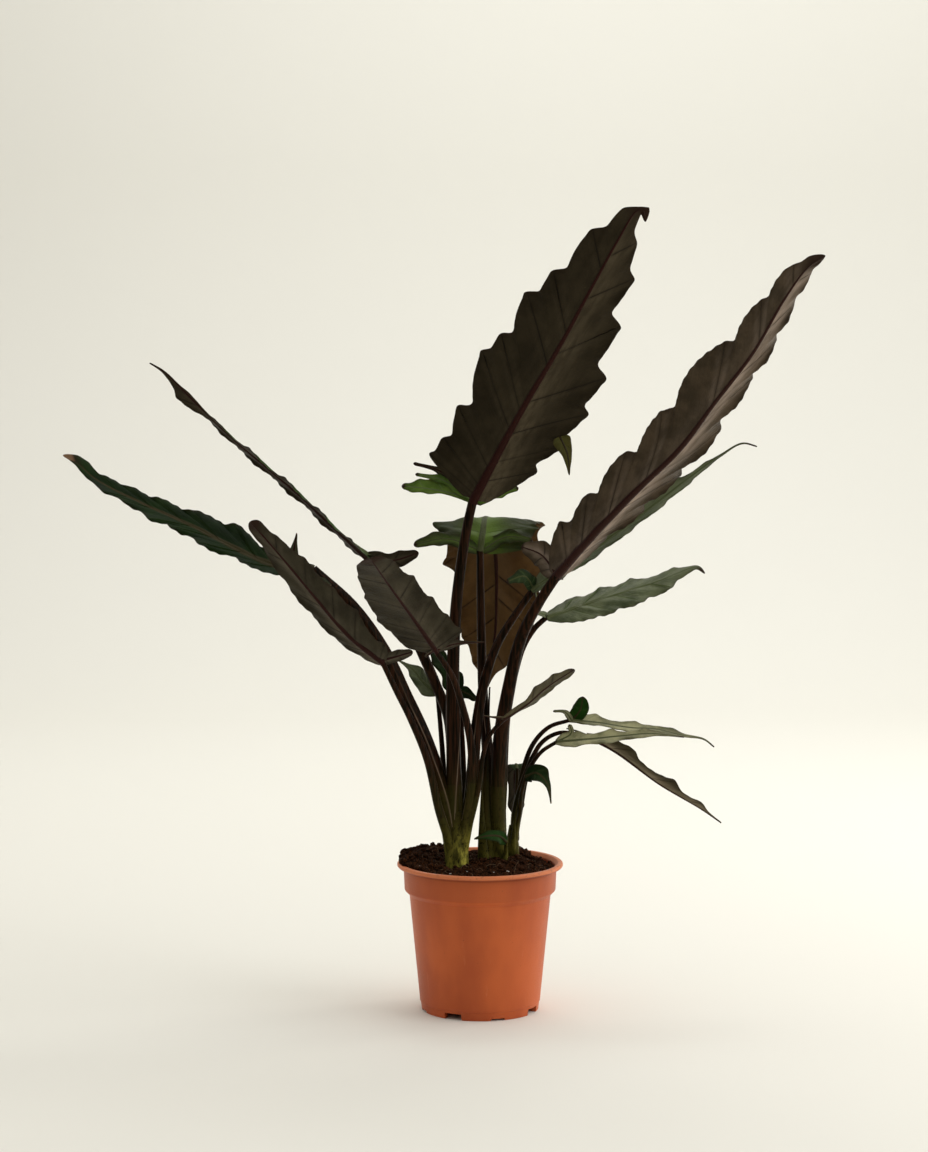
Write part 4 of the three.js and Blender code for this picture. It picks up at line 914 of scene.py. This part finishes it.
def blade_grid(blade, spine, seed):
    """Both faces of a blade as grids of places, with the values for its colours."""
    length = spine.length
    margins = [Margin(blade, side, length) for side in (0, 1)]
    rows = row_places(margins, length)
    part = rows / length
    inner = part * (1 - SWEEP * (1 - part)) * length
    rib = mix(blade["rib"], 0.5, (inner / length) ** 0.6)
    widest = max(blade["width"])
    middles = int(np.clip(round(widest / COLUMN_STEP), 4, 26))
    start = smooth(inner / 28)
    tip = smooth((part - 0.935) / 0.05)
    middle_places, tops, unders, values, uvs = [], [], [], [], []
    for side, sign in ((1, -1), (0, 1)):
        out, wave = margins[side].at(rows)
        near, between, number = margins[side].vein_distance(rows)
        reaches = column_reaches(out, rib, middles)
        columns = range(len(reaches)) if sign > 0 else range(len(reaches) - 1, 0, -1)
        for c in columns:
            reach = reaches[c]
            share = reach / out
            along = mix(inner, rows, share)
            place, _, up, outward = spine.frame(along / length)

            # The middle surface: the blade's V, its waves, a ripple at the edge, and swellings between veins
            fold = np.radians(fold_at(blade, along / length))
            ripple = RIPPLE * blade["ruffle"] * np.sin(along * 0.55 + 5 * varied(seed + side)) * share ** 4
            rise = reach * np.sin(fold) + blade["ruffle"] * share * share * wave
            rise += ripple * np.clip(out / 20, 0, 1)
            swell = np.sin(math.pi * np.clip(between, 0, 1)) ** 2 * np.where(number == 1, 0.4, 1)
            quilt = blade.get("quilt", QUILT) * out * swell * np.clip(4 * share * (1 - share), 0, 1) ** 0.8
            middle_places.append(
                place + outward * (sign * reach * np.cos(fold))[:, None] + up * (rise + quilt)[:, None])

            # Both faces: side veins and midrib stand out, more so below
            vein = np.exp(-(near / mix(0.85, 0.42, share)) ** 2) * np.clip(1.15 - share, 0, 1) ** 0.35
            vein *= np.clip((reach - rib * 0.5) / 3, 0, 1)
            ribbed = rib * np.sqrt(np.clip(1 - (reach / (rib * 1.05)) ** 2, 0, 1))
            half = mix(BLADE_THICKNESS / 2, EDGE_THICKNESS / 2, smooth((share - 0.75) / 0.25))
            if c == len(reaches) - 1:
                half = half * 0.5
            tops.append(half - VEIN_DEPTH * vein + ribbed * mix(0.95, 0.16, start))
            unders.append(half + VEIN_HEIGHT * vein * (1 - share) ** 0.4 + ribbed * mix(1.0, 0.85, start))

            # Values for the colours, as in BLADE_VALUES
            rib_near = smooth((rib * 1.25 - reach) / (rib * 0.35))
            edge = np.maximum(np.exp(-np.maximum(out - reach, 0) / 0.8), 1.5 * tip)
            # The painted highlight: a little beside every side vein, and beside the midrib by the leaf's
            # sheen
            beside_vein = np.exp(-((near - 5) / 3.5) ** 2) * np.clip(1.1 - share, 0, 1) ** 0.5
            beside_rib = np.exp(-(np.maximum(reach - rib, 0) / (0.3 * widest)) ** 2)
            sheen = 0.14 * beside_vein + blade.get("sheen", PAINTED_SHEEN)[side] * beside_rib * (1 - 0.5 * part)
            values.append(np.stack([vein, rib_near, edge, sheen], -1))
            uvs.append(np.stack([rows, sign * reach], -1))
    grid = np.stack(middle_places, 1)
    normal = unit(np.cross(np.gradient(grid, axis=1), np.gradient(grid, axis=0)))
    top = grid + normal * np.stack(tops, 1)[..., None]
    under = grid - normal * np.stack(unders, 1)[..., None]
    return top, under, np.stack(values, 1), np.stack(uvs, 1)


def closed_faces(rows, width, start):
    """Faces that close two like grids, the upper one's corners first."""
    top = start + np.arange(rows * width).reshape(rows, width)
    under = top + rows * width
    quads = (
        (top[:-1, :-1], top[:-1, 1:], top[1:, 1:], top[1:, :-1]),
        (under[:-1, :-1], under[1:, :-1], under[1:, 1:], under[:-1, 1:]),
        (top[:-1, -1], under[:-1, -1], under[1:, -1], top[1:, -1]),
        (top[:-1, 0], top[1:, 0], under[1:, 0], under[:-1, 0]),
        (top[-1, :-1], top[-1, 1:], under[-1, 1:], under[-1, :-1]),
        (top[0, :-1], under[0, :-1], under[0, 1:], top[0, 1:]),
    )
    return np.vstack([np.stack([corner.ravel() for corner in quad], 1) for quad in quads])


def blade_object(leaf, parts, materials):
    """A leaf's blade with its lobes, as one object."""
    corners, faces, values, uvs, kinds = [], [], [], [], []
    count = 0
    for number, (blade, spine) in enumerate(parts):
        top, under, table, uv = blade_grid(blade, spine, len(leaf["name"]) + 3 * number)
        rows, width = top.shape[:2]
        size = rows * width
        faces.append(closed_faces(rows, width, count))
        kinds += [blade.get("kind", "dark")] * len(faces[-1])
        corners += [top.reshape(-1, 3), under.reshape(-1, 3)]
        for upper in (1.0, 0.0):
            values.append(np.column_stack([np.full(size, upper), table.reshape(size, -1)]))
            uvs.append(uv.reshape(-1, 2))
        count += 2 * size
    table = np.vstack(values)
    attributes = {key: table[:, i] for i, key in enumerate(BLADE_VALUES)}
    made = mesh_object(
        f"{leaf['name']}_blade_fine", keep_in_box(np.vstack(corners)), np.vstack(faces),
        materials[kinds[0]], attributes, np.vstack(uvs), 70)
    used = list(dict.fromkeys(kinds))
    for kind in used[1:]:
        made.data.materials.append(materials[kind])
    made.data.polygons.foreach_set("material_index", [used.index(kind) for kind in kinds])
    place_piece(made, "blade", f"{leaf['name']}_blade")


def leaf_parts(leaf):
    """The blade and each lobe as (blade, spine), and the stalk's curve with the sheath's share of it."""
    spine = Spine([leaf["stalk"][-1], *leaf["spine"]], leaf["face"])
    rib = leaf["radius"][1]
    blades = [({**leaf, "rib": rib}, spine)]
    for lobe in leaf["lobes"]:
        along, out = lobe.get("start", (3, rib * 0.6))
        place, _, up, outward = spine.frame(np.array(along / spine.length))
        fold = math.radians(fold_at(leaf, along / spine.length))
        start = place + outward * lobe["side"] * out * math.cos(fold) + up * out * math.sin(fold)
        lobe_spine = Spine([tuple(start), *lobe["path"]], [(0, *lobe["face"]), (1, *lobe["face"])])
        blades.append(({
            "width": (lobe["width"], lobe["width"]),
            "teeth": lobe["teeth"] if isinstance(lobe["teeth"], list) else [lobe["teeth"]] * 2,
            "broad": 0.6,
            "blunt": not lobe.get("pointed", False),
            "notch": lobe.get("notch", 0.12),
            "kind": lobe.get("kind", leaf.get("kind", "dark")),
            "fold": (6, 0),
            "basal": lobe["width"] * 0.6,
            "ruffle": 1.5,
            "rib": 1.2,
        }, lobe_spine))
    root = np.array(SHOOTS[leaf["shoot"]]["root"])
    first = leaf["stalk"][0]
    lower = [(*mix(root, np.array(first[:2]), share), height) for share, height in LOWER_STALK]
    stalk = Curve([*(lower if first[2] > LOW_STALK else lower[:1]), *leaf["stalk"]])
    sheath = 0.0
    while stalk.at(sheath)[2] < leaf["sheath"]:
        sheath += 0.002
    return {"leaf": leaf, "blades": blades, "stalk": stalk, "sheath": sheath, "spine": spine}


# Stalks and shoots

def tube_faces(rows, sides, first=0, ends=None):
    """Faces of a closed tube: rings of corners from the first on, and a fan round each end's corner."""
    low, high = ends or (rows * sides, rows * sides + 1)
    ring = np.arange(rows * sides).reshape(rows, sides) + first
    nxt = np.roll(ring, -1, axis=1)
    faces = [tuple(q) for q in np.stack([ring[:-1], nxt[:-1], nxt[1:], ring[1:]], -1).reshape(-1, 4)]
    faces += [(low, nxt[0, i], ring[0, i]) for i in range(sides)]
    faces += [(high, ring[-1, i], nxt[-1, i]) for i in range(sides)]
    return faces


def tube_surface(middle, up, side, reach):
    """A closed tube round a row of places: its reach by row and angle, along up and side."""
    angle = np.linspace(0, 2 * math.pi, STALK_SIDES, endpoint=False)
    round_up = np.cos(angle)[None, :, None] * up[:, None]
    round_side = np.sin(angle)[None, :, None] * side[:, None]
    places = middle[:, None] + reach[..., None] * (round_up + round_side)
    corners = np.vstack([places.reshape(-1, 3), middle[:1], middle[-1:]])
    return corners, tube_faces(len(middle), STALK_SIDES)


def stalk_surface(parts, start, end):
    """A stalk's closed surface between two parts of its length, with its painted ridge highlight."""
    leaf, curve = parts["leaf"], parts["stalk"]
    rows = max(4, round(curve.length * (end - start) / STALK_STEP))
    part = np.linspace(start, end, rows + 1)
    middle, along = curve.at(part), curve.along(part)

    # The groove looks to the shoot's middle at the foot, and the way of the blade's face above
    root = np.array([*SHOOTS[leaf["shoot"]]["root"], 0.0])
    foot = curve.at(0.15) * [1, 1, 0]
    inward = unit(root - foot + 1e-3)
    face = parts["spine"].frame(np.array(0.0))[2]
    looks = mix(inward, face, smooth(part * 1.2)[:, None])
    up = unit(looks - np.sum(looks * along, 1, keepdims=True) * along)

    # A raised sheath edge runs up both sides of the groove and fades out
    radius = mix(leaf["radius"][0] * STALK_FULLNESS, leaf["radius"][1], np.clip(part, 0, 1) ** 0.8)
    angle = np.linspace(0, 2 * math.pi, STALK_SIDES, endpoint=False)
    turn = (angle + math.pi) % (2 * math.pi) - math.pi
    fade = 1 - smooth((part - 0.45) / 0.35)
    edge_angle = mix(0.95, 0.5, smooth(part / 0.8))
    ridge = np.exp(-((np.abs(turn)[None, :] - edge_angle[:, None]) / 0.085) ** 2) * fade[:, None]
    groove = np.exp(-(turn[None, :] / 0.45) ** 2) * mix(0.05, 0.14, smooth(part))[:, None]
    reach = radius[:, None] * (1 - groove + 0.09 * ridge)
    corners, faces = tube_surface(middle, up, np.cross(along, up), reach)
    return corners, faces, np.concatenate([ridge.ravel(), [0, 0]])


def sheath_surface(sheath, root, bottom):
    """A sheath's closed surface: a flattened tube round its places that narrows to a point."""
    start = mix(np.array(root), np.array(sheath["places"][0][:2]), 0.5)
    curve = Curve([(*start, bottom + 3), *sheath["places"]])
    part = np.linspace(0, 1, SHEATH_ROWS)
    along = curve.along(part)
    up = unit(np.cross(along, [1.0, 0.0, 0.0]))
    radius = mix(*sheath["radius"], smooth(part) ** 1.1)
    reach = np.repeat(radius[:, None], STALK_SIDES, axis=1)
    return tube_surface(curve.at(part), SHEATH_FLATNESS * up, np.cross(along, up), reach)


def face_out(made):
    """Turns every face of the object's closed bodies outwards."""
    work = bmesh.new()
    work.from_mesh(made.data)
    bmesh.ops.recalc_face_normals(work, faces=work.faces)
    work.to_mesh(made.data)
    work.free()


def stalk_object(parts, material):
    name = parts["leaf"]["name"]
    end = 1 + INTO_BLADE / parts["stalk"].length
    made = solid(f"{name}_stalk_fine", stalk_surface(parts, parts["sheath"], end), material)
    place_piece(made, "stalk", f"{name}_stalk")


def turned_surface(profile, sides, middle=(0, 0)):
    """A closed surface turned round an upright axis: the profile runs from the axis to the axis."""
    angle = np.linspace(0, 2 * math.pi, sides, endpoint=False)
    corners = [(*middle, profile[0][1]), (*middle, profile[-1][1])]
    for radius, height in profile[1:-1]:
        for a in angle:
            corners.append((middle[0] + radius * math.cos(a), middle[1] + radius * math.sin(a), height))
    return np.array(corners, float), tube_faces(len(profile) - 2, sides, 2, (0, 1))


def solid(name, surface, material):
    """A closed body with its faces outwards. The surface may end with its painted ridge highlight."""
    corners, faces, *lines = surface
    made = mesh_object(name, corners, faces, material, {"line": lines[0]} if lines else None)
    face_out(made)
    return made


def plain_lines(surface):
    """The surface with its painted ridge highlight, which is none."""
    return (*surface, np.zeros(len(surface[0])))


def shoot_object(name, members, material):
    """A shoot: its core and the lower ends of its leaves' stalks, joined into one body."""
    shoot = SHOOTS[name]
    radius = shoot["radius"]
    bottom = SOIL_LEVEL - STEM_DEPTH - 2
    shoulder = SOIL_LEVEL + SHOOT_SHOULDER
    profile = [
        (0, bottom),
        (radius * 0.8, bottom),
        (radius, bottom + SHOOT_FOOT),
        (radius * 1.02, SOIL_LEVEL),
        (radius, shoulder),
        (radius * 0.8, mix(shoulder, shoot["top"], 0.45)),
        (radius * 0.5, shoot["top"]),
        (0, shoot["top"]),
    ]
    core = turned_surface(profile, STALK_SIDES, shoot["root"])
    made = solid(f"{name}_shoot_fine", plain_lines(core), material)
    others = [solid("tube", stalk_surface(parts, 0.0, parts["sheath"]), material) for parts in members]
    for sheath in SHEATHS:
        if sheath["shoot"] == name:
            surface = sheath_surface(sheath, shoot["root"], bottom)
            others.append(solid("sheath", plain_lines(surface), material))
    join_solids(made, others)
    made.data.set_sharp_from_angle(angle=math.radians(50))
    place_piece(made, "shoot", f"{name}_shoot")


def join_solids(target, others, operation="UNION"):
    """Joins or cuts closed bodies into the target's mesh and removes the others."""
    group = bpy.data.collections.new("joined")
    bpy.context.scene.collection.children.link(group)
    for other in others:
        bpy.context.scene.collection.objects.unlink(other)
        group.objects.link(other)
    modifier = target.modifiers.new("join", "BOOLEAN")
    modifier.operation = operation
    modifier.operand_type = "COLLECTION"
    modifier.collection = group
    modifier.solver = "MANIFOLD"
    bpy.context.view_layer.update()
    graph = bpy.context.evaluated_depsgraph_get()
    mesh = bpy.data.meshes.new_from_object(target.evaluated_get(graph))
    target.modifiers.clear()
    target.data = mesh
    for other in others:
        bpy.data.objects.remove(other)
    bpy.data.collections.remove(group)


# Pot

def rounded(corners):
    """The profile of the corners, with an arc at each that has a rounding."""
    points = []
    for k, (*point, radius) in enumerate(corners):
        if not radius:
            points.append(tuple(point))
            continue
        p = np.array(point, float)
        before = unit(np.array(corners[k - 1][:2], float) - p)
        after = unit(np.array(corners[k + 1][:2], float) - p)
        start, end = p + before * radius, p + after * radius
        for t in np.linspace(0, 1, 6):
            points.append(tuple((1 - t) ** 2 * start + 2 * t * (1 - t) * p + t * t * end))
    return points


def pot_object(material):
    inner_foot = BASE_RADIUS - FOOT_WIDTH
    lip_bottom = POT_HEIGHT - LIP_HEIGHT
    foot_edge = BASE_RADIUS + FOOT_FLARE

    # Radius and height of each corner, with the radius of its rounding
    corners = [
        (0, 0, 0),
        (PAD_RADIUS, 0, 0),
        (PAD_RADIUS, FLOOR_HEIGHT, 0),
        (inner_foot, FLOOR_HEIGHT, 0),
        (inner_foot, 0, 0),
        (BASE_RADIUS, 0, 0.6),
        (foot_edge - 0.45, FLOOR_HEIGHT - 0.5, 0),
        (foot_edge + 0.15, FLOOR_HEIGHT + 0.1, 0),
        (STEP_RADIUS, STEP_BOTTOM, 1.2),
        (COLLAR_BOTTOM_RADIUS, COLLAR_BOTTOM, 1.0),
        (COLLAR_RADIUS, lip_bottom, 0.7),
        (RIM_RADIUS - LIP_EDGE, lip_bottom, 0.5),
        (RIM_RADIUS, lip_bottom + LIP_EDGE, 0.6),
        (RIM_RADIUS, POT_HEIGHT - LIP_EDGE, 0.7),
        (RIM_RADIUS - LIP_EDGE, POT_HEIGHT, 0.7),
        (LIP_INNER_RADIUS, POT_HEIGHT, 0.9),
        (COLLAR_RADIUS - WALL, lip_bottom, 2),
        (COLLAR_BOTTOM_RADIUS - WALL, COLLAR_BOTTOM + 1, 2),
        (STEP_RADIUS - WALL, STEP_BOTTOM, 2),
        (foot_edge - WALL, FLOOR_HEIGHT + WALL, 0),
        (0, FLOOR_HEIGHT + WALL, 0),
    ]
    made = solid("pot_fine", turned_surface(rounded(corners), POT_SIDES), material)
    cutters = []
    for notch in (DEEP_NOTCH, SHALLOW_NOTCH):
        for i in range(NOTCHES_OF_A_KIND):
            angle = math.radians(notch["first_angle"] + 360 * i / NOTCHES_OF_A_KIND)
            cutters.append(notch_cutter(notch, angle, material))
    top = FLOOR_HEIGHT + 2 * WALL
    hole = [(0, WALL), (DRAIN["radius"], WALL), (DRAIN["radius"], top), (0, top)]
    for i in range(DRAIN["count"]):
        angle = 2 * math.pi * i / DRAIN["count"]
        middle = (DRAIN["circle"] * math.cos(angle), DRAIN["circle"] * math.sin(angle))
        cutters.append(solid("drain", turned_surface(hole, DRAIN["sides"], middle), material))
    join_solids(made, cutters, "DIFFERENCE")
    made.data.set_sharp_from_angle(angle=math.radians(32))
    place_piece(made, "pot", "pot")


def notch_cutter(notch, angle, material):
    """A block through the foot, a little narrower at its top, which leaves a notch under it."""
    reach = FOOT_WIDTH * 1.5
    half = notch["width"] / 2
    corners = []
    for height, width in ((-notch["height"], half), (notch["height"], half * 0.94)):
        for x, across in ((-reach, -width), (reach, -width), (reach, width), (-reach, width)):
            along = BASE_RADIUS + x
            corners.append((
                along * math.cos(angle) - across * math.sin(angle),
                along * math.sin(angle) + across * math.cos(angle),
                height))
    faces = [(0, 3, 2, 1), (4, 5, 6, 7), (0, 1, 5, 4), (1, 2, 6, 5), (2, 3, 7, 6), (3, 0, 4, 7)]
    return solid("notch", (corners, faces), material)


# Soil

def hill(x, y, middle_x, middle_y, spread_x, spread_y):
    return np.exp(-((x - middle_x) / spread_x) ** 2 - ((y - middle_y) / spread_y) ** 2)


def soil_height(x, y):
    """The height of the soil: mounded round the stems and heaped over the rim at the left."""
    hills = (
        (6, 0, 10, 48, 45),
        (13, -72, 4, 20, 48),
        (10, 36, 64, 22, 16),
        (10, -48, 56, 30, 24),
        (-0.5, 68, 6, 22, 50),
    )
    clods = 1.5 * np.sin(x * 0.21 + 1.3) * np.cos(y * 0.17) + 1.1 * np.sin(x * 0.37 - y * 0.31)
    return SOIL_LEVEL + sum(height * hill(x, y, *where) for height, *where in hills) + clods


def rough(x, y):
    """The soil's fine relief at a place in mm: a height for each size of clod."""
    sizes = ((2.2, 0.16, 7), (2.4, 0.42, 0), (1.3, 1.1, 3))
    return sum(height * noise.noise(Vector((x * scale, y * scale, layer))) for height, scale, layer in sizes)


def on_soil(x, y, lift=0.0):
    return float(soil_height(x, y)) + rough(x, y) + lift


def soil_edge(height):
    """How far out the soil reaches at a height: to the pot's inner wall, and over the lip above it."""
    inside = COLLAR_RADIUS - WALL - 0.3
    lip = LIP_INNER_RADIUS - 0.3
    over = RIM_RADIUS - 1.5
    t = np.clip((height - (POT_HEIGHT - LIP_HEIGHT)) / LIP_HEIGHT, 0, 1)
    return np.where(height > POT_HEIGHT + 1.5, over, mix(inside, lip, t))


def soil_object(material):
    angle = np.linspace(0, 2 * math.pi, SOIL_SIDES, endpoint=False)
    rim_height = soil_height(LIP_INNER_RADIUS * np.cos(angle), LIP_INNER_RADIUS * np.sin(angle))
    reach = soil_edge(rim_height)
    lip_place = [LIP_INNER_RADIUS - 0.5, LIP_INNER_RADIUS + 0.8]
    corners = [(0, 0, on_soil(0.0, 0.0))]
    for ring in range(1, SOIL_RINGS + 1):
        share = (ring / SOIL_RINGS) ** 0.85
        x, y = reach * share * np.cos(angle), reach * share * np.sin(angle)
        z = soil_height(x, y) + np.array([rough(a, b) for a, b in zip(x, y)])
        lip_top = np.interp(np.hypot(x, y), lip_place, [-1e3, POT_HEIGHT + 0.4])
        corners += list(zip(x, y, np.maximum(z, lip_top)))

    # Below the edge the soil goes in to the lip's inner side, and then down inside the collar
    lip, base = [], []
    for a, r, above in zip(angle, reach, corners[-SOIL_SIDES:]):
        edge = min(r, LIP_INNER_RADIUS - 0.4)
        lip.append((edge * math.cos(a), edge * math.sin(a), min(above[2] - 0.2, POT_HEIGHT + 0.35)))
        edge = min(r, COLLAR_BOTTOM_RADIUS - WALL - 0.4)
        base.append((edge * math.cos(a), edge * math.sin(a), SOIL_BOTTOM))
    corners += [*lip, *base, (0, 0, SOIL_BOTTOM)]
    faces = tube_faces(SOIL_RINGS + 2, SOIL_SIDES, 1, (0, len(corners) - 1))
    soil_piece("soil_fine", (np.array(corners), faces), material, "soil")


def soil_piece(name, surface, material, *nodes):
    made = mesh_object(name, *surface, material, sharp=180)
    face_out(made)
    place_piece(made, "soil", *nodes)


def lump(middle, size, draw, stretch=(1, 1, 1)):
    """A small uneven lump: an icosahedron once divided, with its corners moved."""
    work = bmesh.new()
    bmesh.ops.create_icosphere(work, subdivisions=2, radius=1)
    seed = draw.uniform(0, 100)
    turn = draw.uniform(0, math.pi)
    corners = []
    for v in work.verts:
        p = v.co * (1 + 0.45 * noise.noise(v.co * 1.7 + Vector((seed, 0, 0))))
        x, y, z = p.x * stretch[0], p.y * stretch[1], p.z * stretch[2]
        x, y = x * math.cos(turn) - y * math.sin(turn), x * math.sin(turn) + y * math.cos(turn)
        corners.append((middle[0] + size * x, middle[1] + size * y, middle[2] + size * z))
    faces = [tuple(v.index for v in f.verts) for f in work.faces]
    work.free()
    return corners, faces


def gathered(bodies):
    """Several bodies' corners and faces as one list of each."""
    corners, faces = [], []
    for c, f in bodies:
        start = len(corners)
        corners += list(c)
        faces += [tuple(start + i for i in face) for face in f]
    return np.array(corners), faces


def soil_spot(draw, spread=1.0):
    """A random place on the soil, thicker towards the heap at the left."""
    while True:
        angle = draw.uniform(0, 2 * math.pi)
        radius = CRUMB_REACH * math.sqrt(draw.random()) * spread
        x, y = radius * math.cos(angle), radius * math.sin(angle)
        if draw.random() < 0.55 + 0.45 * float(hill(x, y, -60, 5, 30, 60)):
            return x, y


def soil_crumbs(material):
    draw = random.Random(11)
    bodies = []
    for _ in range(CRUMBS):
        x, y = soil_spot(draw)
        size = 0.7 + 3.2 * draw.random() ** 3.5
        place = (x, y, on_soil(x, y, size * 0.25))
        bodies.append(lump(place, size, draw, (1, draw.uniform(0.6, 1), draw.uniform(0.5, 0.9))))
    for _ in range(LIP_CRUMBS):
        angle = math.radians(draw.uniform(112, 200))
        radius = draw.uniform(77, RIM_RADIUS - 2.5)
        x, y = radius * math.cos(angle), radius * math.sin(angle)
        size = 0.8 + 2.6 * draw.random() ** 2
        z = max(float(soil_height(x, y)), POT_HEIGHT) + draw.uniform(-0.3, 1.0) * size
        bodies.append(lump((x, y, z), size, draw, (1, 0.8, 0.8)))
    soil_piece("soil_crumbs", gathered(bodies), material)


def thread(points, radius, sides=5):
    """A thin closed tube through places."""
    curve = Curve(points)
    rows = 10
    part = np.linspace(0, 1, rows)
    middle, along = curve.at(part), curve.along(part)
    u = unit(np.cross(along, [0.3, 0.2, 1.0]))
    w = np.cross(along, u)
    corners, faces = [], []
    for k in range(rows):
        thin = radius * (1 if 0 < k < rows - 1 else 0.4)
        for i in range(sides):
            a = 2 * math.pi * i / sides
            corners.append(tuple(middle[k] + thin * (math.cos(a) * u[k] + math.sin(a) * w[k])))
    for k in range(rows - 1):
        for i in range(sides):
            j = (i + 1) % sides
            faces.append((k * sides + i, k * sides + j, (k + 1) * sides + j, (k + 1) * sides + i))
    faces.append(tuple(reversed(range(sides))))
    faces.append(tuple((rows - 1) * sides + i for i in range(sides)))
    return corners, faces


def soil_fibres(material):
    draw = random.Random(5)
    bodies = []
    for _ in range(FIBRES):
        x, y = soil_spot(draw, 0.96)
        heading = draw.uniform(0, 2 * math.pi)
        length = draw.uniform(5, 17)
        points = []
        for step in range(4):
            heading += draw.uniform(-0.6, 0.6)
            points.append((x, y, on_soil(x, y, 0.5 + (2.2 * draw.random() if 0 < step < 3 else 0))))
            x += math.cos(heading) * length / 3
            y += math.sin(heading) * length / 3
            if math.hypot(x, y) > CRUMB_REACH:
                break
        if len(points) > 2:
            bodies.append(thread(points, draw.uniform(0.16, 0.34)))
    bodies.append(thread(STANDING_FIBRE, 0.25))
    soil_piece("soil_fibres", gathered(bodies), material)


def soil_flecks(material):
    draw = random.Random(3)
    bodies = []
    for _ in range(FLECKS):
        angle = math.radians(draw.uniform(200, 350))
        radius = draw.uniform(30, 74)
        x, y = radius * math.cos(angle), radius * math.sin(angle)
        size = draw.uniform(0.45, 1.1)
        place = (x, y, on_soil(x, y, size * 0.6))
        bodies.append(lump(place, size, draw, (draw.uniform(1, 2.2), 0.8, 0.6)))
    for x, y, size in FLECK_SPOTS:
        bodies.append(lump((x, y, on_soil(x, y, size * 0.5)), size, draw, (1.6, 0.5, 0.5)))
    soil_piece("soil_flecks", gathered(bodies), material)


# Floor, backdrop, lights and camera

# In metres
BACK_DISTANCE = 3.4
BEND_RADIUS = 1.1
STAGE_REACH = 5.0
WALL_TOP = 4.5
FLOOR_COLOUR = (0.805, 0.785, 0.715)

# The sky's strength: by each direction's axis, between which values it grows, and from how much to
# how much. The soft boxes: name, place, target, size, watts and colour.
SKY = (("Y", -0.5, 0.6, 0.28, 0.75), ("Z", 0.1, 0.9, 0.0, 0.46))
SKY_COLOUR = (1.0, 0.985, 0.942, 1)
SOFT_BOXES = (
    ("key", (2.4, -0.7, 1.5), (0, 0, 0.35), (2.1, 1.9), 31, (0.97, 0.98, 1.0)),
    ("top", (0.45, 1.5, 2.9), (0.5, 2.8, 1.0), (2.2, 1.6), 43, (0.96, 0.98, 1.0)),
    ("rim", (1.9, 0.9, 0.75), (0, 0, 0.3), (0.5, 1.2), 9, (1.0, 0.97, 0.93)),
)


def backdrop():
    """A pale floor that curves up into a wall behind, as one sheet."""
    bend_start = BACK_DISTANCE - BEND_RADIUS
    profile = [(-STAGE_REACH, 0.0), (bend_start, 0.0)]
    for t in np.linspace(0, math.pi / 2, 24)[1:]:
        profile.append((bend_start + BEND_RADIUS * math.sin(t), BEND_RADIUS - BEND_RADIUS * math.cos(t)))
    profile.append((BACK_DISTANCE, WALL_TOP))
    corners, faces = [], []
    for y, z in profile:
        corners += [(-STAGE_REACH, y, z), (STAGE_REACH, y, z)]
    for k in range(0, len(corners) - 2, 2):
        faces.append((k, k + 1, k + 3, k + 2))
    s = Shader("floor_paper")
    tone = s.noise(s.place(), 0.8, 2, 0.5)
    colour = s.blend(tone, tuple(c * 0.985 for c in FLOOR_COLOUR), FLOOR_COLOUR)
    paper = s.finish(s.principled(colour, 0.85, 0.15))
    mesh_object("floor", np.array(corners) / MM, faces, paper, sharp=180)


def area_light(name, place, target, size, watts, colour):
    data = bpy.data.lights.new(name, "AREA")
    data.shape = "RECTANGLE"
    data.size, data.size_y = size
    data.energy = watts
    data.color = colour
    lamp = bpy.data.objects.new(name, data)
    lamp.location = place
    lamp.rotation_euler = (Vector(target) - Vector(place)).to_track_quat("-Z", "Y").to_euler()
    bpy.context.scene.collection.objects.link(lamp)


def lights():
    """A bright sky towards the backdrop and above, dim behind the camera, with three soft boxes."""
    world = bpy.data.worlds.new("studio")
    world.use_nodes = True
    tree = world.node_tree
    background = tree.nodes["Background"]
    place = tree.nodes.new("ShaderNodeTexCoord")
    parts = tree.nodes.new("ShaderNodeSeparateXYZ")
    total = tree.nodes.new("ShaderNodeMath")
    tree.links.new(place.outputs["Generated"], parts.inputs[0])
    for k, (axis, *limits) in enumerate(SKY):
        span = tree.nodes.new("ShaderNodeMapRange")
        span.interpolation_type = "SMOOTHSTEP"
        tree.links.new(parts.outputs[axis], span.inputs["Value"])
        for key, number in zip(("From Min", "From Max", "To Min", "To Max"), limits):
            span.inputs[key].default_value = number
        tree.links.new(span.outputs[0], total.inputs[k])
    tree.links.new(total.outputs[0], background.inputs["Strength"])
    background.inputs["Color"].default_value = SKY_COLOUR
    bpy.context.scene.world = world
    for values in SOFT_BOXES:
        area_light(*values)


def camera():
    data = bpy.data.cameras.new("camera")
    data.sensor_width = SENSOR
    data.lens = CAMERA_FOCAL_PX / PHOTO_HEIGHT_PX * SENSOR
    data.clip_end = 50
    made = bpy.data.objects.new("camera", data)
    made.location = [c * MM for c in CAMERA_PLACE]
    made.rotation_euler = (math.radians(90 - CAMERA_PITCH_DEG), 0, 0)
    bpy.context.scene.collection.objects.link(made)
    bpy.context.scene.camera = made
    bpy.context.scene.view_settings.view_transform = "Standard"


def build():
    pot_object(pot_material())
    peat = soil_material("soil_peat")
    soil_object(peat)
    soil_crumbs(peat)
    soil_fibres(soil_material("soil_fibre", 0.45))
    soil_flecks(fleck_material())
    stalk = stalk_material("stalk", 0.3)
    shoots = {name: stalk_material("shoot", 0.6, shoot.get("shade")) for name, shoot in SHOOTS.items()}
    blades = {kind: leaf_material(kind) for kind in LEAF_TONES}
    plants = [leaf_parts(leaf) for leaf in LEAVES]
    for name in SHOOTS:
        shoot_object(name, [p for p in plants if p["leaf"]["shoot"] == name], shoots[name])
    for parts in plants:
        blade_object(parts["leaf"], parts["blades"], blades)
        stalk_object(parts, stalk)


build()
backdrop()
lights()
camera()
